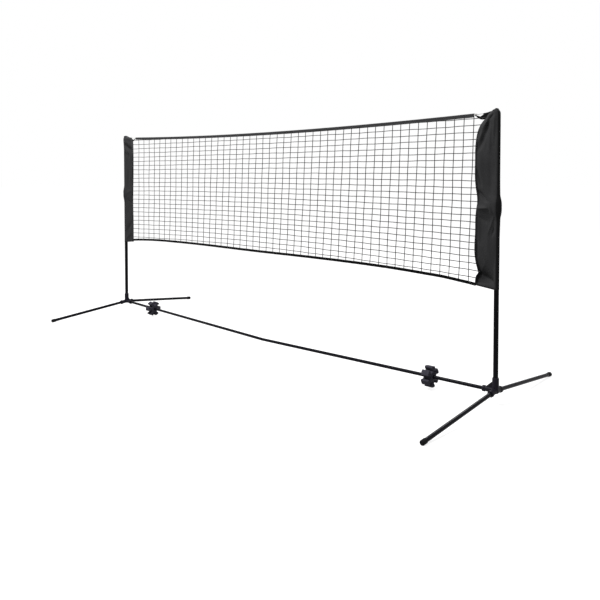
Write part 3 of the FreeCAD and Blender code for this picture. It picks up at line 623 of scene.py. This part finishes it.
def sleeve_fabric():
    """Woven polyester. Round the pole, where the cloth turns away, it is painted dark as shade. A narrow
    binding along the sewn edge is painted dark below the shoulder as the shade of its seam groove; over the
    shoulder the binding is light, on a lighter facing. Stitches lie inside it and above the hem."""
    tree, shader = new_material("sleeve_fabric", Specular_IOR_Level=0.06, Sheen_Weight=0.015,
                                Sheen_Roughness=0.5)
    cloth = cloth_place(tree)
    weave = use_group(tree, "weave", cloth, Thread=0.00055)
    grain = use_group(tree, "grain", object_place(tree), Grains=260.0, Patches=14.0)
    edge, hem = mask_of(tree, "edge_distance"), mask_of(tree, "hem_distance")
    shoulder = mask_of(tree, "shoulder")
    color = blended(tree, grain["Patch"], (0.0210, 0.0210, 0.0217), (0.0255, 0.0255, 0.0263))
    color = blended(tree, scaled(tree, weave["Thread tint"], 0.0, 0.20), color, (0.036, 0.036, 0.038))
    # round the pole, past a line, the cloth is painted dark as the shade where it turns away
    turned_away_shade = ramp(tree, mask_of(tree, "past_seam"), *PAINTED_SHADE_START)
    color = blended(tree, turned_away_shade, color, (0.0075, 0.0075, 0.0080))
    facing = maths(tree, "MULTIPLY", ramp(tree, edge, *FACING_END), shoulder)
    color = blended(tree, facing, color, (0.0345, 0.0345, 0.0355))
    # below the shoulder the binding is painted dark as the shade of its seam groove; over the shoulder it is
    # light
    bound_and_groove_shaded = ramp(tree, edge, *BINDING_AND_GROOVE_SHADE_END)
    binding = blended(tree, shoulder, (0.0085, 0.0085, 0.0090), (0.0400, 0.0400, 0.0410))
    color = blended(tree, bound_and_groove_shaded, color, binding)
    hemmed = ramp(tree, hem, *HEM_END)
    color = blended(tree, hemmed, color, (0.006, 0.006, 0.0065))
    along = axes_of(tree, cloth)
    stitches = maths(tree, "MAXIMUM", stitch_row(tree, edge, EDGE_STITCHES, along["Y"]),
                     stitch_row(tree, hem, HEM_STITCHES, along["X"]))
    color = blended(tree, stitches, color, (0.010, 0.010, 0.011))
    edges = maths(tree, "MAXIMUM", bound_and_groove_shaded, hemmed)
    normal = bump(tree, weave["Height"], 0.00016, 0.5)
    normal = bump(tree, edges, 0.0007, 0.8, normal)
    normal = bump(tree, stitches, 0.0004, 0.8, normal)
    finish_shader(tree, shader, color, scaled(tree, grain["Patch"], 0.58, 0.70), normal)


def stitch_row(tree, distance, place, along):
    """Stitches where the given distance has the given value."""
    vector = add_node(tree, "ShaderNodeCombineXYZ",
                      {"X": maths(tree, "SUBTRACT", distance, place), "Y": along})
    return use_group(tree, "stitch", vector.outputs["Vector"])["Stitches"]


def woven_band(slot, dark, light, thread, rows, gloss):
    """Tape or webbing on a UV map that is metres across and along the band. rows are the distances of its
    stitches from its lower edge."""
    tree, shader = new_material(slot, Specular_IOR_Level=gloss)
    cloth = cloth_place(tree)
    weave = use_group(tree, "weave", cloth, Thread=thread)
    grain = use_group(tree, "grain", object_place(tree), Grains=200.0, Patches=6.0)
    color = blended(tree, grain["Patch"], dark, light)
    color = blended(tree, scaled(tree, weave["Thread tint"], 0.0, 0.10), color, (0.03, 0.03, 0.03))
    normal = bump(tree, weave["Height"], 0.00025, 0.5)
    across = axes_of(tree, cloth)
    for row in rows:
        stitches = stitch_row(tree, across["X"], row, across["Y"])
        color = blended(tree, stitches, color, (0.006, 0.006, 0.007))
        normal = bump(tree, stitches, 0.0004, 0.8, normal)
    finish_shader(tree, shader, color, scaled(tree, grain["Patch"], 0.62, 0.78), normal)


def stranded(slot, dark, light, strands, pitch, depth):
    """Cord or string: strands that wind round it, with painted shade in the grooves between them."""
    tree, shader = new_material(slot, Specular_IOR_Level=0.10)
    cloth = cloth_place(tree)
    grain = use_group(tree, "grain", object_place(tree), Grains=1500.0, Patches=5.0)
    height = use_group(tree, "strands", cloth, Strands=strands, Pitch=pitch)["Height"]
    # the grooves between the strands are painted darker, as their shade
    color = blended(tree, height, dark, light)
    color = blended(tree, scaled(tree, grain["Patch"], 0.0, 0.35), color, dark)
    finish_shader(tree, shader, color, scaled(tree, grain["Grain"], 0.6, 0.85),
                  bump(tree, height, depth, 0.8))


def make_materials():
    tube_paint()
    moulded("joint_plastic", (0.0088, 0.008, 0.0124), (0.0132, 0.012, 0.0182), 800.0, 0.0003, (0.38, 0.5),
            dust_amount=0.05)
    moulded("lock_plastic", (0.007, 0.007, 0.0078), (0.010, 0.010, 0.0112), 800.0, 0.0003, (0.45, 0.6))
    moulded("cap_rubber", (0.004, 0.004, 0.005), (0.0065, 0.0065, 0.0075), 500.0, 0.0004, (0.6, 0.75),
            dust_amount=0.08)
    organiser_foam()
    sleeve_fabric()
    woven_band("webbing", (0.0015, 0.0015, 0.0016), (0.0030, 0.0030, 0.0032), 0.0012, [], 0.04)
    woven_band("top_tape_fabric", (0.034, 0.034, 0.035), (0.047, 0.047, 0.049), 0.0006, [0.0045], 0.10)
    woven_band("bottom_tape_fabric", (0.0015, 0.0015, 0.0018), (0.0035, 0.0035, 0.0038), 0.0006, [0.003],
               0.03)
    stranded("net_string", (0.022, 0.022, 0.022), (0.052, 0.052, 0.053), 3.0, 0.0045, 0.0003)
    stranded("cord_white", (0.42, 0.42, 0.41), (0.80, 0.80, 0.79), 6.0, 0.0035, 0.0004)


def paint_frame():
    """Gives every CAD node the finish that the record names for it."""
    for part in frame["record"]["subparts"]:
        piece = frame["nodes"][part["node"]]
        if piece.material_slots:
            piece.material_slots[0].material = materials[part["material_slot"]]
        else:
            piece.data.materials.append(materials[part["material_slot"]])


# ---------------------------------------------------------------- sleeves
def fold_heights(folds, distance, height):
    """How far the cloth stands out: for each fold depth times exp(-(distance to its line / half width)^p),
    where p is its sharpness, and less towards its ends."""
    total = np.zeros_like(distance)
    for (start_in, start_up), (end_in, end_up), width, depth, sharpness in folds:
        along_in, along_up = end_in - start_in, end_up - start_up
        length = math.hypot(along_in, along_up)
        share = ((distance - start_in) * along_in + (height - start_up) * along_up) / length ** 2
        share = np.clip(share, 0.0, 1.0)
        away = np.hypot(distance - start_in - share * along_in, height - start_up - share * along_up)
        taper = 0.35 + 0.65 * np.sin(math.pi * share) ** 0.7
        total += depth * taper * np.exp(-(away / width) ** sharpness)
    return total


def ripples(distance, height, seed):
    """Soft unevenness of hanging cloth: a few slanting sine waves of different lengths."""
    waves = [(38.0, 9.0, 0.0011), (-21.0, 17.0, 0.0012), (55.0, -31.0, 0.0006), (12.0, 26.0, 0.0013),
             (-74.0, 44.0, 0.0004)]
    total = np.zeros_like(distance)
    for index, (per_metre_in, per_metre_up, size) in enumerate(waves):
        total += size * np.sin(per_metre_in * distance + per_metre_up * height + 1.7 * index * seed)
    return total


def lock_swell(up, above, full):
    """1 where the lock pushes the cloth out, and 0 below and above it. above is how far it reaches upwards,
    and full is the share of that which is at 1."""
    away = up - LOCK_MIDDLE
    share = np.where(away > 0, away / above, -away / BULGE_BELOW)
    return 1 - eased(np.where(away > 0, full, BULGE_FLAT_BELOW), 1.0, share)


def pocket_half(distance, outer, inner, least):
    """Half the sleeve's thickness: a circle round the pole, its tangent to the seam, and a flat seam."""
    radius = np.minimum(np.maximum(least, (least - outer) / 2), (inner - outer) / 2)
    centre = outer + radius
    reach = np.maximum(inner - SEAM_WIDTH - centre, radius * 1.01)
    lean = np.arcsin(np.clip((radius - SEAM_HALF) / reach, 0.0, 0.95))
    from_centre = distance - centre
    round_part = np.sqrt(np.clip(radius ** 2 - from_centre ** 2, 0.0, None))
    straight = (radius - from_centre * np.sin(lean)) / np.cos(lean)
    half = np.where(from_centre < radius * np.sin(lean), round_part, np.maximum(straight, SEAM_HALF))
    edge = np.clip((distance - (inner - SEAM_HALF)) / SEAM_HALF, 0.0, 1.0)
    return half * np.sqrt(1 - edge ** 2)


def sleeve(side, edge_points, outer_points, folds):
    """Sleeve skin: rows go up, columns go round from the sewn edge over the front, round the pole and back.
    At each height, distance in = outer + (inner - outer)(1 + cos a)/2 and depth = pocket half + folds."""
    rows, columns = SLEEVE_GRID
    level = np.linspace(0.0, 1.0, rows)[:, None]
    level = level + ROWS_CLOSER * level * (1 - level)
    around = turn_of(columns)[None, :]
    up = HEM_AT_POLE + level * (SLEEVE_TOP - HEM_AT_POLE) + 0 * around
    inner, outer = flowing(edge_points, up), flowing(outer_points, up)
    swell = lock_swell(up, *SLEEVE_SWELL)
    least = POCKET_R + (BULGE_R[side] + BULGE_EASE - POCKET_R) * swell
    outer = np.where(swell > 0, np.minimum(outer, -least), outer)
    distance = outer + (inner - outer) * (1 + np.cos(around)) / 2
    loose = eased(*LOOSE_FROM_OUTER, distance - outer) * eased(*LOOSE_FROM_SEAM, inner - distance)
    loose = loose * eased(*LOOSE_FROM_HEM, level)
    front = loose * (fold_heights(folds, distance, up) + ripples(distance, up, 1.0))
    # behind the pole the back hangs by itself, and further in both layers move together
    together = eased(*TOGETHER, distance - outer)
    back = loose * (1 - together) * ripples(distance, up, 2.3) - together * front
    clear = np.maximum(POLE_CLEAR, least - SWELL_DENT)
    pole = np.sqrt(np.clip(clear ** 2 - distance ** 2, 0.0, None))
    out = pocket_half(distance, outer, inner, least) + np.where(np.sin(around) > 0, front, back)
    out = np.where(np.abs(distance) < clear, np.maximum(out, pole), out)
    hem_rise = HEM_RISE * distance / HEM_WIDTH
    height = up + hem_rise * (1 - eased(0.0, HEM_FADE, level))
    depth = np.where(np.sin(around) > 0, -out, out)
    points = points_of(SIDES[side] * (POLE_X - distance), depth, height)
    slope = np.gradient(inner[:, 0], up[:, 0])[:, None]
    masks = {"edge_distance": (inner - distance) / np.sqrt(1 + slope ** 2),
             "hem_distance": height - HEM_AT_POLE - hem_rise,
             "shoulder": eased(*SHOULDER, up),
             # how far each point lies past the line of painted shade round the pole
             "past_seam": flowing(PAINTED_SHADE_LINE, up) - distance}
    piece = cloth_piece(f"sleeve_cloth_{side}", points, f"mast_{side}", masks)
    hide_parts(f"sleeve_{side}")


def cloth_piece(name, points, body, masks):
    """Sleeve cloth from closed rows of points, with its thickness inwards. Its UV map is the length round
    the row and the height, in metres."""
    ring = loop_closed(points)
    uv = points_of(lengths_along(ring), ring[..., 2])
    piece = surface(name, points, uv, "sleeve_fabric", body, masks)
    wall = piece.modifiers.new("cloth", "SOLIDIFY")
    wall.thickness = CLOTH
    wall.offset = -1.0
    wall.use_rim = True
    return piece


def lock_bulge(side):
    """Cloth over the lock: a radius that swells from inside the pocket to round the lock ring, and back."""
    rows, columns = COVER_GRID
    share = np.linspace(-1.0, 1.0, rows)[:, None]
    around = turn_of(columns)[None, :]
    up = LOCK_MIDDLE + np.where(share > 0, BULGE_ABOVE, BULGE_BELOW) * share
    swell = lock_swell(up, BULGE_ABOVE, BULGE_FLAT_ABOVE)
    end = np.where(share > 0, BULGE_END_R["above"], BULGE_END_R["below"])
    radius = end + (BULGE_R[side] - end) * swell
    radius = radius + 0.0003 * np.sin(5 * around + 9 * share) * swell
    across = radius * np.cos(around)
    points = points_of(SIDES[side] * POLE_X + across, radius * np.sin(around), up)
    far = np.full(points.shape[:2], 0.05)
    # distance in from the pole's axis is minus across on the right and across on the left
    # past this line the cover's outer side is painted dark as shade, as on the sleeve
    seam = flowing(PAINTED_SHADE_LINE, np.array([LOCK_MIDDLE])) + SIDES[side] * across
    masks = {"edge_distance": far, "hem_distance": far, "shoulder": 0 * far, "past_seam": seam}
    piece = cloth_piece(f"lock_cover_cloth_{side}", points, "stand", masks)


# ---------------------------------------------------------------- net and tapes
def tape_height(x):
    return TAPE_MIDDLE + TAPE_RISE * (x / TAPE_HALF) ** 2


def tape_wave(x):
    """How far the tapes wander out of the net's plane: two sine waves of different lengths."""
    return 0.0007 * np.sin(31.0 * x) + 0.0005 * np.sin(83.0 * x + 1.0)


def upright_paths():
    """The upright strings lean to the right by A(height - LEAN_LOW)/LEAN_SPAN, where A = 0.010 + 0.012t +
    0.024 sin(pi t) and t goes from 0 at the left end to 1 at the right one."""
    number = np.arange(UPRIGHTS)[:, None]
    t = number / (UPRIGHTS - 1)
    low = FIRST_UPRIGHT + UPRIGHT_PITCH * number - PITCH_LOSS * number ** 2
    lean = 0.010 + 0.012 * t + 0.024 * np.sin(math.pi * t)
    share = np.linspace(0.0, 1.0, 2 * CROSSINGS + 3)[None, :]
    top, bottom = tape_height(low + lean) - TOP_TUCK, flowing(BOTTOM_LINE, low) + BOTTOM_TUCK
    z = bottom + share * (top - bottom)
    x = low + lean * (z - LEAN_LOW) / LEAN_SPAN
    x = x + 0.0012 * np.sin(7.0 * z + 2.1 * number) + 0.0007 * np.sin(23.0 * z + 1.3 * number)
    y = 0.0009 * np.sin(19.0 * z + 0.7 * number)
    return points_of(x, y, z)


def crossing_height(index, x):
    """Height of a cross string: they are spread evenly from HIGHEST_ROW down to LOWEST_ROW."""
    end = (x / TAPE_HALF) ** 2
    top, bottom = (middle + higher * end for middle, higher in (HIGHEST_ROW, LOWEST_ROW))
    return top + (bottom - top) * index / (CROSSINGS - 1)


def crossing_paths():
    """The cross strings run from sleeve to sleeve and wander a little, by sine waves of different lengths."""
    index = np.arange(CROSSINGS)[:, None]
    at_pole = crossing_height(index, TAPE_HALF)
    right = POLE_X - flowing(RIGHT_EDGE, at_pole) + STRING_TUCK
    left = -POLE_X + flowing(LEFT_EDGE, at_pole) - STRING_TUCK
    x = left + (right - left) * np.linspace(0.0, 1.0, 4 * UPRIGHTS + 1)[None, :]
    z = crossing_height(index, x) + 0.0009 * np.sin(11.0 * x + 1.9 * index)
    z = z + 0.0006 * np.sin(41.0 * x + 0.8 * index)
    y = 0.0009 * np.cos(17.0 * x + 1.1 * index)
    return points_of(x, y, z)


def knots_at(places):
    """A small knot at each place: a flattened ball of rings of points, of which the first and last are its
    poles."""
    rings, sides = KNOT_GRID
    tilt = math.pi * np.arange(rings)[:, None] / (rings - 1)
    angle = turn_of(sides)
    ball = points_of(np.sin(tilt) * np.cos(angle), 0.8 * np.cos(tilt), 1.15 * np.sin(tilt) * np.sin(angle))
    size = KNOT_R * (1 + 0.12 * np.sin(np.arange(len(places)) * 1.7))
    points = places[:, None, :] + size[:, None, None] * ball.reshape(1, -1, 3)
    faces, rows_of, columns_of = grid_faces(rings, sides)
    uv = points_of(columns_of / sides, rows_of * 0.002)
    all_faces = (np.arange(len(places))[:, None, None] * rings * sides + faces).reshape(-1, 4)
    return points.reshape(-1, 3), all_faces, np.tile(uv, (len(places), 1, 1))


def crossings_of_strings(uprights):
    """Where each upright string passes each cross string's height."""
    places = []
    for path in uprights:
        heights = crossing_height(np.arange(CROSSINGS), path[len(path) // 2, 0])
        inside = (heights < path[-1, 2] - KNOT_GAP) & (heights > path[0, 2] + KNOT_GAP)
        x = np.interp(heights[inside], path[:, 2], path[:, 0])
        y = np.interp(heights[inside], path[:, 2], path[:, 1])
        places.append(points_of(x, y, crossing_height(np.arange(CROSSINGS)[inside], x)))
    return np.concatenate(places)


def netting():
    """All strings and knots of the net, in one mesh."""
    uprights = upright_paths()
    strings = [tubes_along(paths, STRING_R, 6) for paths in (uprights, crossing_paths())]
    points, faces, uv = joined(strings + [knots_at(crossings_of_strings(uprights))])
    piece = make_piece("net_strings", points, faces, uv, "net_string", "mast_right")
    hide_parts("netting")


def band_section(fold_r, edge_half, sides):
    """A folded band's outline, as (sideways, up) with up from -1 to 1: thick round the cord at the top, and
    thin at the sewn lower edge."""
    angle = turn_of(sides)
    up = np.cos(angle)
    thick = edge_half + (fold_r - edge_half) * eased(0.35, 0.80, (1 + up) / 2)
    rounded = np.clip(1 - np.abs(up) ** 8, 0.0, 1.0) ** 0.5
    return thick * rounded * np.sign(np.sin(angle)), up


def band_along(name, x, z, half_heights, section, slot):
    """A band whose section stands upright across a line in the net's plane."""
    sideways, up = section
    path = points_of(x, 0.0, z)
    ahead = directions_along(path)
    normal = points_of(-ahead[:, 2], 0.0, ahead[:, 0])
    points = path[:, None, :] + (half_heights[:, None] * up)[..., None] * normal[:, None, :]
    points[..., 1] += sideways + tape_wave(x)[:, None]
    across = half_heights[:, None] * (1 + np.append(up, up[0]))
    uv = points_of(across, lengths_along(path)[:, None])
    return surface(name, points, uv, slot, "mast_right")


def top_tape():
    """The headline hem, a little narrower at the left-hand end."""
    x = np.linspace(TAPE_END["left"], TAPE_END["right"], BAND_ROWS)
    half = np.linspace(*TOP_TAPE_HALVES, BAND_ROWS)
    section = band_section(fold_r=0.0029, edge_half=0.0010, sides=28)
    piece = band_along("top_tape_band", x, tape_height(x), half, section, "top_tape_fabric")
    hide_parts("top_tape")


def bottom_tape():
    """The lower binding, from sleeve edge to sleeve edge."""
    x = np.linspace(*BOTTOM_TAPE_ENDS, BAND_ROWS)
    half = np.full(BAND_ROWS, BOTTOM_TAPE_HALF)
    section = band_section(fold_r=0.0013, edge_half=0.0012, sides=24)
    piece = band_along("bottom_tape_band", x, flowing(BOTTOM_LINE, x), half, section, "bottom_tape_fabric")
    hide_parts("bottom_tape")


# ---------------------------------------------------------------- headline cord and corner tabs
def headline():
    """One white cord through the top tape, straight to the tab at each end."""
    middle = np.linspace(TAPE_END["left"], TAPE_END["right"], 161)
    inside = points_of(middle, tape_height(middle) + CORD_UP)
    x, z = np.concatenate([CORD_LEFT, inside, CORD_RIGHT]).T
    points, faces, uv = tubes_along(points_of(x, tape_wave(x), z)[None], CORD_R, 12)
    piece = make_piece("headline_cord_line", points, faces, uv, "cord_white", "mast_right")
    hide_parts("headline_cord")


def stopper_knot(side):
    """An overhand knot: a trefoil's line, (sin t + 2 sin 2t, cos t - 2 cos 2t, -sin 3t), pulled a little
    long across the net."""
    turn = np.linspace(0.0, 2 * math.pi, 90)
    path = STOPPER_SIZE * points_of(np.sin(turn) + 2 * np.sin(2 * turn), -1.2 * np.sin(3 * turn),
                                    np.cos(turn) - 2 * np.cos(2 * turn))
    end = TAPE_END[side]
    middle = np.array([end + SIDES[side] * STOPPER_OUT, 0.0, tape_height(end) + STOPPER_UP])
    points, faces, uv = tubes_along((path + middle)[None], CORD_R, 10)
    piece = make_piece(f"stopper_knot_{side}", points, faces, uv, "cord_white", f"mast_{side}")
    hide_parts(f"cord_knot_{side}")


def flat_patch(name, side, outline, middle, half_thickness):
    """A flat piece of webbing: rings shrink from its outline to its middle on the front and grow back on the
    back, and its half thickness is t(1 - ring^8)^(1/3)."""
    rings, count = TAB_GRID
    corners = np.array(outline)
    wrapped = np.concatenate([corners[-2:], corners, corners[:3]])
    stations = np.arange(-2, len(corners) + 3)
    at = np.linspace(0.0, len(corners), count, endpoint=False)
    edge = np.stack([flowing(list(zip(stations, values)), at) for values in wrapped.T], axis=-1)
    share = np.sin(np.linspace(0.0, math.pi, rings))[:, None]
    flat = middle + (edge - middle) * share[..., None]
    front = np.where(np.arange(rings) < rings // 2, -1.0, 1.0)[:, None]
    depth = front * half_thickness * (1 - share ** 8) ** (1 / 3)
    points = points_of(SIDES[side] * (POLE_X - flat[..., 0]), depth, flat[..., 1])
    return surface(name, points, loop_closed(flat), "webbing", f"mast_{side}")


def corner_tabs():
    """Webbing sewn to each sleeve's shoulder, and the tongue that the cord is tied to."""
    arm = flat_patch("corner_tab_arm_right", "right", *TABS["right"]["arm"])
    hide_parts("corner_tab_right")
    flat_patch("corner_tab_tongue_right", "right", *TABS["right"]["tongue"])
    arm = flat_patch("corner_tab_arm_left", "left", *TABS["left"]["arm"])
    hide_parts("corner_tab_left")
    flat_patch("corner_tab_tongue_left", "left", *TABS["left"]["tongue"])


# ---------------------------------------------------------------- foam blocks
def clockwise(angle):
    """(across, up) at a distance of 1 from the middle, for angles from straight up."""
    return points_of(np.sin(angle), np.cos(angle))


def turned(flat, angle):
    """(across, up) points turned anticlockwise about the middle, as their two coordinates."""
    across, up = flat[:, 0], flat[:, 1]
    return np.cos(angle) * across - np.sin(angle) * up, np.sin(angle) * across + np.cos(angle) * up


def block_outline():
    """The block's outline as (across, up), clockwise: for each tube seat the seat's arc, a flare, the lobe's
    rounded corner and its arc, then the same mirrored in the middle of the lobe."""
    seat = np.radians(np.linspace(0.0, SEAT_TURN, 14))
    corner = np.radians(np.linspace(*CORNER_TURN, 7))
    lobe = np.radians(np.linspace(CORNER_TURN[1], 180.0 / SEATS, 6))[1:]
    half = np.concatenate([
        points_of(SEAT_R * np.sin(seat), SEAT_PLACE - SEAT_R * np.cos(seat)),
        np.array([FLARE_START]),
        np.array(CORNER_CENTRE) + CORNER_R * clockwise(corner),
        BLOCK_R * clockwise(lobe)])
    middle = clockwise(math.pi / SEATS)
    mirrored = 2 * (half @ middle)[:, None] * middle - half
    sixth = np.concatenate([half, mirrored[-2:0:-1]])
    across, up = turned(sixth, -turn_of(SEATS)[:, None])
    return points_of(across.ravel(), up.ravel())


def foam_block(side):
    """The outline carried along the bar. At each end a quarter circle, inset r(1 - cos a) and r sin a long,
    turns over to the flat end, which is one face for each lobe, from the outline in to the bore."""
    outline = block_outline()
    ahead = np.roll(outline, -1, axis=0) - np.roll(outline, 1, axis=0)
    inward = points_of(ahead[:, 1], -ahead[:, 0]) / np.linalg.norm(ahead, axis=-1, keepdims=True)
    over = np.linspace(0.0, math.pi / 2, 6)
    length = BLOCK_HALF - EDGE_ROUND * (1 - np.sin(over))
    inset = EDGE_ROUND * (1 - np.cos(over))
    length, inset = np.concatenate([-length[::-1], length]), np.concatenate([inset[::-1], inset])
    skin = outline[None] + inset[:, None, None] * inward[None]
    bore = BORE_R * clockwise(turn_of(BORE_STEPS * SEATS))
    rows, count = skin.shape[:2]
    flat = np.concatenate([skin.reshape(-1, 2), bore, bore])
    along = np.concatenate([np.repeat(length, count), np.repeat([-BLOCK_HALF, BLOCK_HALF], len(bore))])
    faces = grid_faces(rows, count)[0].tolist()
    faces += (rows * count + grid_faces(2, len(bore))[0]).tolist()
    sides = len(faces)
    for end, first in ((0, 0), (1, (rows - 1) * count)):
        hole = rows * count + end * len(bore)
        for lobe in range(SEATS):
            rim = first + (lobe * count // SEATS + np.arange(count // SEATS + 1)) % count
            inner = hole + (lobe * BORE_STEPS + np.arange(BORE_STEPS + 1)) % len(bore)
            faces.append(rim.tolist() + inner[::-1].tolist())
    mesh = bpy.data.meshes.new(f"foam_block_{side}")
    mesh.from_pydata(on_the_bar(side, flat, along).tolist(), [], faces)
    edit(mesh, turn_outwards)
    mesh.polygons.foreach_set("use_smooth", np.arange(len(faces)) < sides)
    mesh.materials.append(materials["organiser_foam"])
    piece = placed(f"foam_block_{side}", mesh)
    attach(piece, f"organiser_{side}")
    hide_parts(f"tube_organiser_{side}")


def on_the_bar(side, flat, along):
    """Points of a section, turned about the bar and set at their lengths along it."""
    place, turn = ORGANISERS[side]
    across, up = turned(flat, math.radians(turn))
    x = POLE_X - place + math.cos(BAR_SLOPE) * along - math.sin(BAR_SLOPE) * up
    z = JOINT_UP - place * math.tan(BAR_SLOPE) + math.sin(BAR_SLOPE) * along + math.cos(BAR_SLOPE) * up
    return points_of(SIDES[side] * x, across, z)


# ---------------------------------------------------------------- floor, light and camera
def floor_and_backdrop():
    """A white floor that keeps the object's shadow, under a white sky."""
    corners = FLOOR_HALF * np.array([(-1, -1, 0), (1, -1, 0), (1, 1, 0), (-1, 1, 0)])
    mesh = bpy.data.meshes.new("floor")
    mesh.from_pydata(corners.tolist(), [], [(0, 1, 2, 3)])
    mesh.materials.append(floor_material())
    floor = placed("floor", mesh)


def seen_directly(tree):
    """1 for the rays that show the background itself: from the camera, a mirror or clear glass."""
    path = tree.nodes.new("ShaderNodeLightPath").outputs
    seen = maths(tree, "MAXIMUM", path["Is Camera Ray"], path["Is Glossy Ray"])
    return maths(tree, "MAXIMUM", seen, path["Is Transmission Ray"])


def floor_material():
    material = bpy.data.materials.new("floor")
    tree = emptied(material)
    lit = add_node(tree, "ShaderNodeBsdfDiffuse", {"Color": (FLOOR_GREY, FLOOR_GREY, FLOOR_GREY, 1.0)})
    seen = seen_directly(tree)
    away = add_node(tree, "ShaderNodeVectorMath", {"Vector": object_place(tree)}, operation="LENGTH")
    level = ramp(tree, away.outputs["Value"], *FLOOR_NEAR_FAR, *FLOOR_GLOW)
    glow = add_node(tree, "ShaderNodeEmission",
                    {"Color": (1.0, 1.0, 1.0, 1.0), "Strength": maths(tree, "MULTIPLY", seen, level)})
    both = tree.nodes.new("ShaderNodeAddShader")
    out = tree.nodes.new("ShaderNodeOutputMaterial")
    tree.links.new(lit.outputs[0], both.inputs[0])
    tree.links.new(glow.outputs[0], both.inputs[1])
    tree.links.new(both.outputs[0], out.inputs["Surface"])
    return material


def sky():
    world = bpy.data.worlds.new("studio")
    tree = emptied(world)
    level = scaled(tree, seen_directly(tree), SKY_LIGHT, 1.0)
    light = add_node(tree, "ShaderNodeBackground", {"Color": (1.0, 1.0, 1.0, 1.0), "Strength": level})
    out = tree.nodes.new("ShaderNodeOutputWorld")
    tree.links.new(light.outputs[0], out.inputs["Surface"])
    bpy.context.scene.world = world


def softbox(name, place, target, size, power):
    """An area lamp at place, turned to shine at target. size is its (width, height)."""
    data = bpy.data.lights.new(name, "AREA")
    data.shape = "RECTANGLE"
    data.size, data.size_y = size
    data.energy = power
    lamp = placed(name, data)
    ahead = np.array(target, float) - np.array(place, float)
    yaw = math.atan2(ahead[1], ahead[0]) - math.pi / 2
    pitch = math.atan2(ahead[2], math.hypot(ahead[0], ahead[1])) + math.pi / 2
    lamp.location = place
    lamp.rotation_euler = (pitch, 0.0, yaw)


def camera():
    data = bpy.data.cameras.new("camera")
    data.lens = CAMERA_LENS
    data.sensor_width = 36.0
    data.shift_y = CAMERA_SHIFT
    data.clip_end = 200.0
    eye = placed("camera", data)
    eye.location = CAMERA_PLACE
    eye.rotation_euler = (math.radians(90 - CAMERA_DIP), 0.0, math.radians(CAMERA_TURN))
    bpy.context.scene.camera = eye


# ---------------------------------------------------------------- the whole scene
camera()
make_materials()
paint_frame()
sleeve("right", RIGHT_EDGE, RIGHT_OUTER, RIGHT_FOLDS)
sleeve("left", LEFT_EDGE, LEFT_OUTER, LEFT_FOLDS)
for side in SIDES:
    lock_bulge(side)
    stopper_knot(side)
    foam_block(side)
netting()
top_tape()
bottom_tape()
headline()
corner_tabs()
floor_and_backdrop()
sky()
for name, settings in LAMPS.items():
    softbox(name, *settings)
bpy.context.scene.view_settings.view_transform = "Standard"
